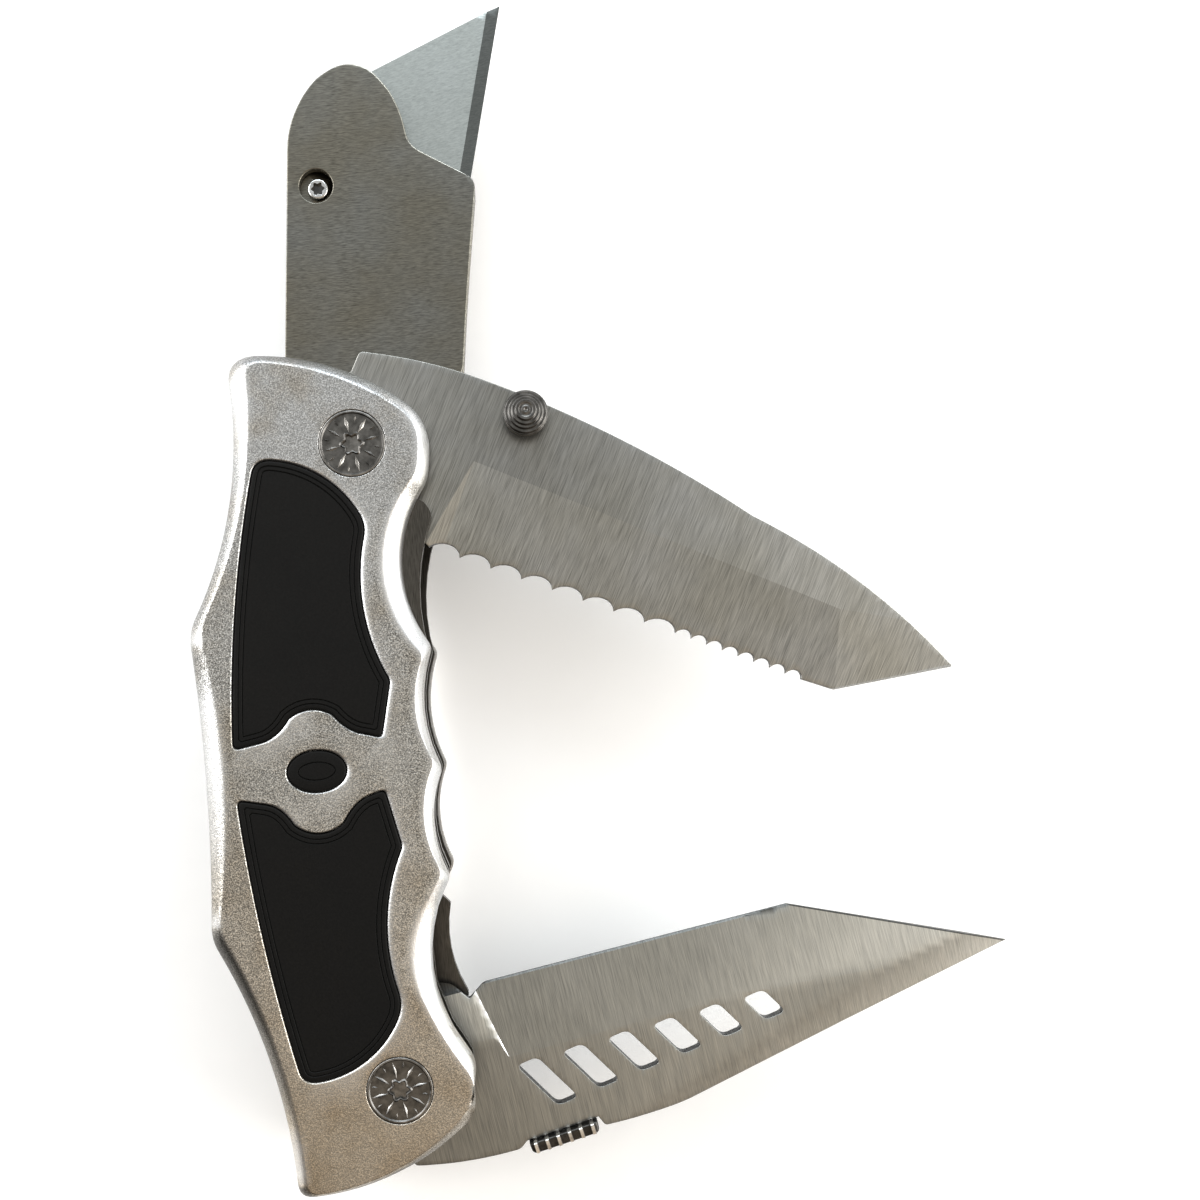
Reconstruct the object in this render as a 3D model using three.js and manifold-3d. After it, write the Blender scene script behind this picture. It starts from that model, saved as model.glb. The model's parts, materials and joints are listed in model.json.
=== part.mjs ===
// A folding three-tool pocket knife: a serrated tanto blade and a utility-blade holder on the upper
// pivot, and a slotted blade on the lower pivot, between aluminium scales with rubber inserts.
// Millimetres. The knife lies on its rear scale: +Z is up through the stack of layers, +Y runs
// from the lower pivot to the upper one, and +X is the side where the tools fold in.
// The origin is on the rear face, midway between the pivots.
import * as THREE from "three";
import { mergeVertices } from "three/addons/utils/BufferGeometryUtils.js";
import Module from "manifold-3d";

const wasm = await Module();
wasm.setup();

// ---- driving dimensions ----
const PIVOT_SPACING = 87.5;
const SCALE_THICKNESS = 4;
const LINER_THICKNESS = 1.2;
const BLADE_THICKNESS = 1.8;
const HOLDER_THICKNESS = 4;
const STATIC_GAP = 0.1; // between pieces that are clamped together
const RUNNING_GAP = 0.3; // between a tool and the liner beside it
const FIT_GAP = 0.1; // round a pin or screw in its hole

const PIVOT_RADIUS = 3;
const HEAD_RADIUS = 4.5;
const HEAD_DEPTH = 1.5;
const HEAD_SEGMENTS = 20;
const PIN_RADIUS = 1.25;
const RIVET_RADIUS = 0.7;
const PIN_SEGMENTS = 10;
const WASHER_RADIUS = 6;
const WASHER_THICKNESS = 0.2;
const TANG_RADIUS = 11.3;

const upperPivot = new THREE.Vector2(0, PIVOT_SPACING / 2);
const lowerPivot = new THREE.Vector2(0, -PIVOT_SPACING / 2);

// ---- the stack of layers, from the rear face up ----
const layer = (bottom, thickness) => ({ bottom, top: bottom + thickness });
const rearScale = layer(0, SCALE_THICKNESS);
const rearLiner = layer(rearScale.top + STATIC_GAP, LINER_THICKNESS);
const holder = layer(rearLiner.top + RUNNING_GAP, HOLDER_THICKNESS);
const rearLockLiner = layer(holder.top + RUNNING_GAP, LINER_THICKNESS);
const slotted = layer(rearLockLiner.top + RUNNING_GAP, BLADE_THICKNESS);
const dividerLiner = layer(slotted.top + RUNNING_GAP, LINER_THICKNESS);
const serrated = layer(dividerLiner.top + RUNNING_GAP, BLADE_THICKNESS);
const frontLockLiner = layer(serrated.top + RUNNING_GAP, LINER_THICKNESS);
const frontScale = layer(frontLockLiner.top + STATIC_GAP, SCALE_THICKNESS);
const STACK_HEIGHT = frontScale.top;

// ---- materials ----
const metal = (color, roughness) =>
  new THREE.MeshStandardMaterial({ color, roughness, metalness: 1 });
const castAluminium = metal(0xb9b4aa, 0.45);
const rubber = new THREE.MeshStandardMaterial({ color: 0x1e1d1c, roughness: 0.7, metalness: 0 });
const linerSteel = metal(0x7d776e, 0.4);
const bladeSteel = metal(0x9a968c, 0.35);
const holderSteel = metal(0x7b776a, 0.4);
const razorSteel = metal(0xaab0b3, 0.3);
const screwSteel = metal(0x6e6a64, 0.35);
const bronze = metal(0xa8763e, 0.4);

// ---- outlines ----
// A point at the fraction t of the arc from a to b that rises by the bulge to the left of its way.
function arcPoint(a, b, bulge, t) {
  const chord = b.clone().sub(a);
  const along = chord.clone().normalize();
  const left = new THREE.Vector2(-along.y, along.x);
  const middle = a.clone().add(b).multiplyScalar(0.5);
  if (bulge === 0) return a.clone().lerp(b, t);
  const radius = (chord.lengthSq() / 4 + bulge * bulge) / (2 * bulge);
  const halfAngle = 2 * Math.atan((2 * bulge) / chord.length());
  const angle = halfAngle * (2 * t - 1);
  return middle
    .addScaledVector(along, radius * Math.sin(angle))
    .addScaledVector(left, radius * Math.cos(angle) - radius + bulge);
}

// A closed outline through clockwise corners [x, y, bulge, round]. The bulge is how far the side
// after the corner rises outwards, and round is how much of each side the corner's curve takes.
function outline(corners, sideSteps = 6, cornerSteps = 3) {
  const points = [];
  const place = ([x, y]) => new THREE.Vector2(x, y);
  corners.forEach((corner, index) => {
    const next = corners[(index + 1) % corners.length];
    const afterNext = corners[(index + 2) % corners.length];
    const [from, to, beyond] = [corner, next, afterNext].map(place);
    const length = from.distanceTo(to);
    const first = (corner[3] ?? 0) / length;
    const last = 1 - (next[3] ?? 0) / length;
    const steps = corner[2] ? sideSteps : 1;
    for (let step = 0; step <= steps; step += 1) {
      points.push(arcPoint(from, to, corner[2] ?? 0, first + ((last - first) * step) / steps));
    }
    if (next[3]) {
      const start = points[points.length - 1];
      const end = arcPoint(to, beyond, next[2] ?? 0, next[3] / to.distanceTo(beyond));
      const curve = new THREE.QuadraticBezierCurve(start, to, end);
      for (let step = 1; step < cornerSteps; step += 1) points.push(curve.getPoint(step / cornerSteps));
    }
  });
  const distinct = points.filter((point, index) =>
    point.distanceTo(points[(index + 1) % points.length]) > 1e-4);
  return distinct.reverse();
}

// The outline moved inwards by a distance, with the same number of points.
function inset(points, distance) {
  return points.map((point, index) => {
    const before = points[(index + points.length - 1) % points.length];
    const after = points[(index + 1) % points.length];
    const incoming = point.clone().sub(before).normalize();
    const outgoing = after.clone().sub(point).normalize();
    const along = incoming.clone().add(outgoing).normalize();
    const inwards = new THREE.Vector2(-along.y, along.x);
    const stretch = 1 / Math.max(0.5, along.dot(outgoing));
    return point.clone().addScaledVector(inwards, distance * stretch);
  });
}

// ---- solids ----
function solidOf(geometry) {
  const bare = geometry.clone();
  for (const name of Object.keys(bare.attributes)) {
    if (name !== "position") bare.deleteAttribute(name);
  }
  const merged = mergeVertices(bare, 1e-4);
  const mesh = new wasm.Mesh({
    numProp: 3,
    vertProperties: merged.attributes.position.array,
    triVerts: new Uint32Array(merged.index.array),
  });
  return new wasm.Manifold(mesh);
}

function prism(points, low, high) {
  const shape = new THREE.Shape(points);
  const geometry = new THREE.ExtrudeGeometry(shape, { depth: high - low, bevelEnabled: false });
  return solidOf(geometry.translate(0, 0, low));
}

// A closed solid through rings of equal point counts, each { points, z }, from the bottom up.
function loft(rings) {
  const count = rings[0].points.length;
  const positions = rings.flatMap(({ points, z }) => points.flatMap((point) => [point.x, point.y, z]));
  const triangles = [];
  for (let level = 0; level + 1 < rings.length; level += 1) {
    for (let index = 0; index < count; index += 1) {
      const here = level * count + index;
      const beside = level * count + ((index + 1) % count);
      triangles.push(here, beside, beside + count, here, beside + count, here + count);
    }
  }
  const lastRing = (rings.length - 1) * count;
  for (const [a, b, c] of THREE.ShapeUtils.triangulateShape(rings[0].points, [])) triangles.push(c, b, a);
  for (const [a, b, c] of THREE.ShapeUtils.triangulateShape(rings[rings.length - 1].points, [])) {
    triangles.push(a + lastRing, b + lastRing, c + lastRing);
  }
  const geometry = new THREE.BufferGeometry();
  geometry.setAttribute("position", new THREE.Float32BufferAttribute(positions, 3));
  geometry.setIndex(triangles);
  return solidOf(geometry);
}

// A solid of revolution about a vertical axis at centre, from a profile of [radius, z] pairs.
function turned(profile, centre, segments = 16) {
  const points = profile.map(([radius, z]) => new THREE.Vector2(radius, z));
  const geometry = new THREE.LatheGeometry(points, segments);
  geometry.rotateX(Math.PI / 2);
  geometry.translate(centre.x, centre.y, 0);
  return solidOf(geometry);
}

function disc(radius, low, high, centre, segments = 16) {
  return turned([[0, low], [radius, low], [radius, high], [0, high]], centre, segments);
}

function cut(body, ...tools) {
  return tools.reduce((rest, tool) => rest.subtract(tool), body);
}

function join(body, ...others) {
  return others.reduce((whole, other) => whole.add(other), body);
}

function meshOf(name, solid, material) {
  const { numProp, vertProperties, triVerts } = solid.getMesh();
  const positions = new THREE.BufferAttribute(new Float32Array(vertProperties), numProp);
  const geometry = new THREE.BufferGeometry();
  geometry.setAttribute("position", positions);
  geometry.setIndex(new THREE.BufferAttribute(new Uint32Array(triVerts), 1));
  geometry.computeVertexNormals();
  const mesh = new THREE.Mesh(geometry, material);
  mesh.name = name;
  return mesh;
}

// ---- the handle's outlines, clockwise from the top of the back edge ----
const rim = outline([
  [-16.9, 57.2, 3.2, 4],
  [10, 47, 0.5, 3],
  [9.4, 38.3, -3.7, 1.2],
  [8.6, 15.9, -1.8, 0.9],
  [8.8, -1, -1.7, 0.9],
  [8.8, -15.9, -0.4, 0.9],
  [3.8, -28.4, -0.4, 9],
  [10.7, -41.6, -0.4, 2.2],
  [10.1, -48.3, 2.7, 2],
  [-15.1, -58, -2.2, 1.8],
  [-24.5, -22.1, -0.9, 2],
  [-24.5, 20.2, -3.3, 2.4],
]);
const face = outline([
  [-13.6, 55.7, 2.1, 2.3],
  [9.1, 45.8, 0.1, 3],
  [8.3, 39.1, -5.2, 1.5],
  [7.5, 14.5, -1.8, 0.9],
  [7.9, 0.2, -1.9, 0.9],
  [7.8, -14.7, 0.4, 0.9],
  [1.4, -23.2, -1.2, 7],
  [10.2, -43.2, 0.8, 1.8],
  [7.7, -48.1, 2.2, 1.6],
  [-13.3, -56.9, -2.3, 1.6],
  [-22.6, -20.2, -2, 2],
  [-22.3, 20.1, -2.8, 2.4],
]);
const RIM_INSET = 0.3; // the liners and back strips stay this far inside the rim
const linerEdge = inset(rim, RIM_INSET);

// ---- scales with their rubber inserts ----
const SIDE_WALL = 1.6; // upright part of a scale's edge, below the chamfer
const POCKET_DEPTH = 2;
const INSERT_BEVEL = 0.3;
const INSERT_STEPS = 5;
const insertOutlines = {
  upper: outline([
    [-13.4, 42.5, 2.8, 1.9],
    [1.1, 32.5, -2.1, 1.5],
    [2.8, 11.5, 0, 0.6],
    [1.1, 3.8, -0.15, 0.8],
    [-3.5, 4.9, -3.5, 2.4],
    [-13, 4.7, 0, 2.4],
    [-19.1, 3.6, 1.1, 1],
  ], INSERT_STEPS, 3),
  lower: outline([
    [-19.1, -3.1, 0, 1],
    [-13, -4.4, -3.9, 2.2],
    [-3.4, -4.5, 0.1, 2.2],
    [1, -3.1, 0, 0.8],
    [2.8, -11, -2.1, 0.6],
    [1.3, -32.1, 3, 1.8],
    [-13, -41.9, 0.8, 1.7],
  ], INSERT_STEPS, 3),
};
const OVAL_CENTRE = new THREE.Vector2(-8, 0);
const OVAL_HALF_LENGTH = 4.1;
const OVAL_HALF_WIDTH = 2.9;
insertOutlines.oval = new THREE.EllipseCurve(
  OVAL_CENTRE.x, OVAL_CENTRE.y, OVAL_HALF_LENGTH, OVAL_HALF_WIDTH,
).getPoints(20).slice(0, -1);

// A scale lying face up, from its inner face at z = 0 to its outer face.
function scaleSolid() {
  const body = loft([
    { points: rim, z: 0 },
    { points: rim, z: SIDE_WALL },
    { points: face, z: SCALE_THICKNESS },
  ]);
  const beyond = SCALE_THICKNESS + 1;
  const pockets = Object.values(insertOutlines).map((points) =>
    prism(points, SCALE_THICKNESS - POCKET_DEPTH, beyond));
  const pivotHoles = [upperPivot, lowerPivot].flatMap((pivot) => [
    disc(PIVOT_RADIUS + FIT_GAP, -1, beyond, pivot),
    disc(HEAD_RADIUS + FIT_GAP, SCALE_THICKNESS - HEAD_DEPTH - STATIC_GAP, beyond, pivot, HEAD_SEGMENTS),
  ]);
  return cut(body, ...pockets, ...pivotHoles);
}

// An insert lying face up in a scale whose inner face is at z = 0.
function insertSolid(points) {
  const low = SCALE_THICKNESS - POCKET_DEPTH + STATIC_GAP;
  const body = inset(points, FIT_GAP);
  return loft([
    { points: body, z: low },
    { points: body, z: SCALE_THICKNESS - INSERT_BEVEL },
    { points: inset(body, INSERT_BEVEL), z: SCALE_THICKNESS - STATIC_GAP },
  ]);
}

// A scale or insert made face up is lifted to the front, or turned face down for the rear.
const toFront = (solid) => solid.translate([0, 0, frontScale.bottom]);
const toRear = (solid) => solid.mirror([0, 0, 1]).translate([0, 0, rearScale.top]);

function scaleMeshes() {
  const meshes = [
    meshOf("front_scale", toFront(scaleSolid()), castAluminium),
    meshOf("rear_scale", toRear(scaleSolid()), castAluminium),
  ];
  for (const [place, points] of Object.entries(insertOutlines)) {
    meshes.push(meshOf(`front_${place}_insert`, toFront(insertSolid(points)), rubber));
    meshes.push(meshOf(`rear_${place}_insert`, toRear(insertSolid(points)), rubber));
  }
  return meshes;
}

// ---- liners, back strips, pins and rivets ----
const serratedStop = new THREE.Vector2(-11.7, 38.3);
const slottedStop = new THREE.Vector2(-12.3, -39.8);
const rivets = { upper: new THREE.Vector2(-22.1, 9), lower: new THREE.Vector2(-22.1, -9) };

// The tab of a lock bar stands out in the finger hollow, and a slot parts the bar from its liner.
const upperLockTab = outline([
  [3, 36.4, 0, 0],
  [8.7, 36.4, 0, 1.1],
  [9.9, 34.2, -1.5, 0.8],
  [8.1, 15.4, 0, 0],
  [3, 15.4, 0, 0],
]);
const lowerLockTab = outline([
  [3, -19.6, 0, 0],
  [6.9, -19.6, 0, 0.3],
  [8.1, -20.9, -1.3, 0.3],
  [9.9, -34.2, 0, 0.8],
  [8.7, -36.4, 0, 1.1],
  [3, -36.4, 0, 0],
]);
const upperLockSlot = outline([
  [1, 37.6, 0, 0.4],
  [12, 37.6, 0, 0],
  [12, 36.4, 0, 0],
  [2.4, 36.4, 0, 0.6],
  [2.4, -6, 0.6, 0],
  [1, -6, 0, 0],
]);
const lowerLockSlot = upperLockSlot.map((point) => new THREE.Vector2(point.x, -point.y)).reverse();
const lockShapes = { upper: [upperLockTab, upperLockSlot], lower: [lowerLockTab, lowerLockSlot] };

function linerSolid({ bottom, top }, lock) {
  let body = prism(linerEdge, bottom, top);
  if (lock) {
    const [tab, slot] = lockShapes[lock];
    body = cut(join(body, prism(tab, bottom, top)), prism(slot, bottom - 1, top + 1));
  }
  const hole = (radius, centre, segments) => disc(radius + FIT_GAP, bottom - 1, top + 1, centre, segments);
  const holes = [
    ...[upperPivot, lowerPivot].map((pivot) => hole(PIVOT_RADIUS, pivot)),
    ...[serratedStop, slottedStop].map((pin) => hole(PIN_RADIUS, pin, PIN_SEGMENTS)),
    ...Object.values(rivets).map((rivet) => hole(RIVET_RADIUS, rivet, PIN_SEGMENTS)),
  ];
  return cut(body, ...holes);
}

// A strip along the back edge fills the bay between two liners where no tool comes.
const STRIP_WIDTH = 2.2;
const STRIP_HALF_LENGTH = 33;
function backStrip(low, high) {
  const shifted = prism(linerEdge, low - 1, high + 1).translate([STRIP_WIDTH, 0, 0]);
  const crescent = cut(prism(linerEdge, low, high), shifted);
  const keep = prism(outline([
    [-30, STRIP_HALF_LENGTH, 0, 0],
    [-12, STRIP_HALF_LENGTH, 0, 0],
    [-12, -STRIP_HALF_LENGTH, 0, 0],
    [-30, -STRIP_HALF_LENGTH, 0, 0],
  ]), low - 1, high + 1);
  const holes = Object.values(rivets).map((rivet) =>
    disc(RIVET_RADIUS + FIT_GAP, low - 1, high + 1, rivet, PIN_SEGMENTS));
  return cut(crescent.intersect(keep), ...holes);
}

function linerMeshes() {
  const strip = (below, above) => backStrip(below.top + STATIC_GAP, above.bottom - STATIC_GAP);
  const pin = (below, above, centre) => disc(PIN_RADIUS, below.bottom, above.top, centre, PIN_SEGMENTS);
  const rivet = (centre) =>
    disc(RIVET_RADIUS, rearLiner.bottom, frontLockLiner.top, centre, PIN_SEGMENTS);
  return [
    meshOf("front_lock_liner", linerSolid(frontLockLiner, "upper"), linerSteel),
    meshOf("front_divider_liner", linerSolid(dividerLiner), linerSteel),
    meshOf("rear_lock_liner", linerSolid(rearLockLiner, "lower"), linerSteel),
    meshOf("rear_liner", linerSolid(rearLiner, "upper"), linerSteel),
    meshOf("serrated_bay_spacer", strip(dividerLiner, frontLockLiner), linerSteel),
    meshOf("slotted_bay_spacer", strip(rearLockLiner, dividerLiner), linerSteel),
    meshOf("holder_bay_spacer", strip(rearLiner, rearLockLiner), linerSteel),
    meshOf("serrated_stop_pin", pin(dividerLiner, frontLockLiner, serratedStop), screwSteel),
    meshOf("slotted_stop_pin", pin(rearLockLiner, dividerLiner, slottedStop), screwSteel),
    meshOf("holder_stop_pin", pin(rearLiner, rearLockLiner, serratedStop), screwSteel),
    meshOf("upper_back_rivet", rivet(rivets.upper), screwSteel),
    meshOf("lower_back_rivet", rivet(rivets.lower), screwSteel),
  ];
}

// ---- pivots ----
const BARREL_BORE = 1.6;
const SHANK_RADIUS = 1.5;
const SHANK_LENGTH = 6;
const RECESS_RADIUS = 1.1;
const RECESS_DEPTH = 0.9;
const RECESS_POINTS = 24;
const RECESS_LOBES = 6;
const LOBE_SWELL = 0.13; // how far the lobes swell, as a part of the radius
const HEAD_CHAMFER = 0.25;

// A pivot screw standing on the origin with its head's top at z = 0 and its shank downwards.
function screwSolid() {
  const lobes = Array.from({ length: RECESS_POINTS }, (_, index) => {
    const angle = (index / RECESS_POINTS) * 2 * Math.PI;
    const radius = RECESS_RADIUS * (1 + LOBE_SWELL * Math.cos(RECESS_LOBES * angle));
    return new THREE.Vector2(radius * Math.cos(angle), radius * Math.sin(angle));
  });
  const origin = new THREE.Vector2(0, 0);
  const body = turned([
    [0, -HEAD_DEPTH - SHANK_LENGTH],
    [SHANK_RADIUS, -HEAD_DEPTH - SHANK_LENGTH],
    [SHANK_RADIUS, -HEAD_DEPTH],
    [HEAD_RADIUS, -HEAD_DEPTH],
    [HEAD_RADIUS, -HEAD_CHAMFER],
    [HEAD_RADIUS - HEAD_CHAMFER, 0],
    [0, 0],
  ], origin, HEAD_SEGMENTS);
  return cut(body, prism(lobes, -RECESS_DEPTH, 1));
}

function pivotMeshes() {
  const meshes = [];
  const headBack = HEAD_DEPTH + 2 * STATIC_GAP;
  for (const [place, centre] of Object.entries({ upper: upperPivot, lower: lowerPivot })) {
    const low = rearScale.bottom + headBack;
    const high = frontScale.top - headBack;
    const barrel = turned([
      [BARREL_BORE, low],
      [PIVOT_RADIUS, low],
      [PIVOT_RADIUS, high],
      [BARREL_BORE, high],
      [BARREL_BORE, low],
    ], centre);
    const front = screwSolid().translate([centre.x, centre.y, STACK_HEIGHT]);
    const rear = screwSolid().mirror([0, 0, 1]).translate([centre.x, centre.y, STATIC_GAP]);
    meshes.push(meshOf(`${place}_pivot_barrel`, barrel, screwSteel));
    meshes.push(meshOf(`${place}_front_pivot_screw`, front, screwSteel));
    meshes.push(meshOf(`${place}_rear_pivot_screw`, rear, screwSteel));
  }
  return meshes;
}

function washerMeshes() {
  const play = (RUNNING_GAP - WASHER_THICKNESS) / 2;
  const washer = (low, centre) => turned([
    [PIVOT_RADIUS + FIT_GAP, low],
    [WASHER_RADIUS, low],
    [WASHER_RADIUS, low + WASHER_THICKNESS],
    [PIVOT_RADIUS + FIT_GAP, low + WASHER_THICKNESS],
    [PIVOT_RADIUS + FIT_GAP, low],
  ], centre);
  const tools = {
    serrated: [serrated, upperPivot],
    slotted: [slotted, lowerPivot],
    holder: [holder, upperPivot],
  };
  return Object.entries(tools).flatMap(([name, [tool, centre]]) => [
    meshOf(`${name}_front_washer`, washer(tool.top + play, centre), bronze),
    meshOf(`${name}_rear_washer`, washer(tool.bottom - play - WASHER_THICKNESS, centre), bronze),
  ]);
}

// ---- blades ----
const EDGE_HALF_THICKNESS = 0.1;
const BLADE_STEPS = 4; // steps along each curved side of a blade
const COARSE_SCALLOPS = { count: 8, depth: 1.25 };
const FINE_SCALLOPS = { count: 8, depth: 0.95 };

// Everything above the plane through three points that lies within a region seen from above.
function grindCutter(region, [a, b, c], reach = 6) {
  const normal = b.clone().sub(a).cross(c.clone().sub(a)).normalize();
  if (normal.z < 0) normal.negate();
  const heightAt = (point) => a.z - (normal.x * (point.x - a.x) + normal.y * (point.y - a.y)) / normal.z;
  const count = region.length;
  const positions = [
    ...region.flatMap((point) => [point.x, point.y, heightAt(point)]),
    ...region.flatMap((point) => [point.x, point.y, heightAt(point) + reach]),
  ];
  const triangles = [];
  for (const [i, j, k] of THREE.ShapeUtils.triangulateShape(region, [])) {
    triangles.push(k, j, i, i + count, j + count, k + count);
  }
  for (let index = 0; index < count; index += 1) {
    const beside = (index + 1) % count;
    triangles.push(index, beside, beside + count, index, beside + count, index + count);
  }
  const geometry = new THREE.BufferGeometry();
  geometry.setAttribute("position", new THREE.Float32BufferAttribute(positions, 3));
  geometry.setIndex(triangles);
  return solidOf(geometry);
}

// Both sides of a blade ground from the line start-end at full thickness to the edge point.
function grind(body, { bottom, top }, region, start, end, edgePoint) {
  const middle = (bottom + top) / 2;
  const points = [
    new THREE.Vector3(start[0], start[1], top),
    new THREE.Vector3(end[0], end[1], top),
    new THREE.Vector3(edgePoint[0], edgePoint[1], middle + EDGE_HALF_THICKNESS),
  ];
  const upper = grindCutter(outline(region), points);
  const lower = upper.mirror([0, 0, 1]).translate([0, 0, bottom + top]);
  return cut(body, upper, lower);
}

const pivotHole = ({ bottom, top }, pivot) => disc(PIVOT_RADIUS + FIT_GAP, bottom - 1, top + 1, pivot);

// Points round a tang, from one angle to another in degrees, turning clockwise.
function tangArc(pivot, fromDegrees, toDegrees, steps = 12) {
  return Array.from({ length: steps + 1 }, (_, index) => {
    const angle = THREE.MathUtils.degToRad(fromDegrees + ((toDegrees - fromDegrees) * index) / steps);
    return [pivot.x + TANG_RADIUS * Math.cos(angle), pivot.y + TANG_RADIUS * Math.sin(angle), 0, 0];
  });
}

// Scallops of equal width along the straight line from one cusp to another.
function scallops(from, to, { count, depth }) {
  const start = new THREE.Vector2(...from);
  const end = new THREE.Vector2(...to);
  return Array.from({ length: count }, (_, index) => {
    const cusp = start.clone().lerp(end, index / count);
    return [cusp.x, cusp.y, -depth, 0];
  });
}

function serratedBladeSolid() {
  const heel = [9, 30];
  const coarseEnd = [42.6, 15.4];
  const fineEnd = [59.7, 7.6];
  const corner = [64.2, 5.8];
  const tip = [81, 7.8];
  const corners = [
    [0, 55.2, 0, 0],
    [1.4, 57.9, 0.4, 0.6],
    [16, 53.7, 1.4, 0],
    [54.5, 30.9, 1.6, 0],
    [...tip, 0, 0],
    [...corner, 0, 0],
    ...scallops(fineEnd, coarseEnd, FINE_SCALLOPS),
    ...scallops(coarseEnd, heel, COARSE_SCALLOPS),
    [...heel, 0, 0],
    [5.6, 33, 0, 0],
    ...tangArc(upperPivot, -70, -268),
  ];
  const grindStart = [16.2, 41.4];
  const grindEnd = [68.5, 15.6];
  const tipGrindStart = [66, 16.9];
  const tipGrindEnd = [74.5, 14.8];
  const mainRegion = [
    [9.4, 31.6, 0, 0],
    [...grindStart, 0, 0],
    [66, 16.8, 0, 0],
    [63.9, 4, 0, 0],
    [56, -4, 0, 0],
    [4, 22, 0, 0],
  ];
  const tipRegion = [
    [...tipGrindStart, 0, 0],
    [...tipGrindEnd, 0, 0],
    [90, 8, 0, 0],
    [90, -2, 0, 0],
    [63.9, 2, 0, 0],
  ];
  let body = prism(outline(corners, BLADE_STEPS), serrated.bottom, serrated.top);
  body = grind(body, serrated, mainRegion, grindStart, grindEnd, heel);
  body = grind(body, serrated, tipRegion, tipGrindStart, tipGrindEnd, corner);
  const studHole = disc(STUD_SHANK + FIT_GAP, 0, STACK_HEIGHT, studCentre);
  return cut(body, pivotHole(serrated, upperPivot), studHole);
}

// ---- thumb stud, stepped down towards its foot, and riveted through the serrated blade ----
const studCentre = new THREE.Vector2(23.8, 47);
const STUD_SHANK = 1.2;
const STUD_NECK = 2.2;
const STUD_FLANGE = 3.1;
const STUD_NECK_HEIGHT = 1.6;
const STUD_FLANGE_HEIGHT = 0.8;
const STUD_RINGS = [2.9, 2.4, 1.95, 1.45];
const STUD_STEP = 0.4;
const STUD_DIMPLE = { radius: 0.5, depth: 0.4 };
function thumbStudSolid() {
  const neckTop = serrated.top + STUD_NECK_HEIGHT;
  const flangeTop = neckTop + STUD_FLANGE_HEIGHT;
  const profile = [
    [0, serrated.bottom],
    [STUD_SHANK, serrated.bottom],
    [STUD_SHANK, serrated.top + STATIC_GAP],
    [STUD_NECK, serrated.top + STATIC_GAP],
    [STUD_NECK, neckTop],
    [STUD_FLANGE, neckTop],
    [STUD_FLANGE, flangeTop],
  ];
  STUD_RINGS.forEach((radius, index) => {
    profile.push([radius, flangeTop + index * STUD_STEP]);
    profile.push([radius, flangeTop + (index + 1) * STUD_STEP]);
  });
  const studTop = flangeTop + STUD_RINGS.length * STUD_STEP;
  profile.push([STUD_DIMPLE.radius, studTop], [0, studTop - STUD_DIMPLE.depth]);
  return turned(profile, studCentre, HEAD_SEGMENTS);
}

// ---- slotted blade and its ribbed thumb tab ----
const SLOT_COUNT = 6;
const SLOT_WIDTH = 3.2;
const SLOT_ROUND = 1;
const firstSlot = { x: 20.1, y: -47, length: 8.2 };
const lastSlot = { x: 51.8, y: -38.4, length: 4.5 };
const slotSideWay = new THREE.Vector2(0.67, -0.742);
const slotEndWay = new THREE.Vector2(0.945, 0.327);
const tabEnds = { heel: [16.9, -55.4], nose: [26.7, -52.9] };

// One of the slots that lighten the blade: a leaning, rounded parallelogram. They shorten
// evenly towards the tip.
function slotOutline(index) {
  const t = index / (SLOT_COUNT - 1);
  const between = (key) => THREE.MathUtils.lerp(firstSlot[key], lastSlot[key], t);
  const side = slotSideWay.clone().multiplyScalar(between("length") / 2);
  const end = slotEndWay.clone().multiplyScalar(SLOT_WIDTH / 2);
  const at = (alongSide, alongEnd) => [
    between("x") + alongSide * side.x + alongEnd * end.x,
    between("y") + alongSide * side.y + alongEnd * end.y,
    0,
    SLOT_ROUND,
  ];
  return outline([at(-1, -1), at(-1, 1), at(1, 1), at(1, -1)]);
}

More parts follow.
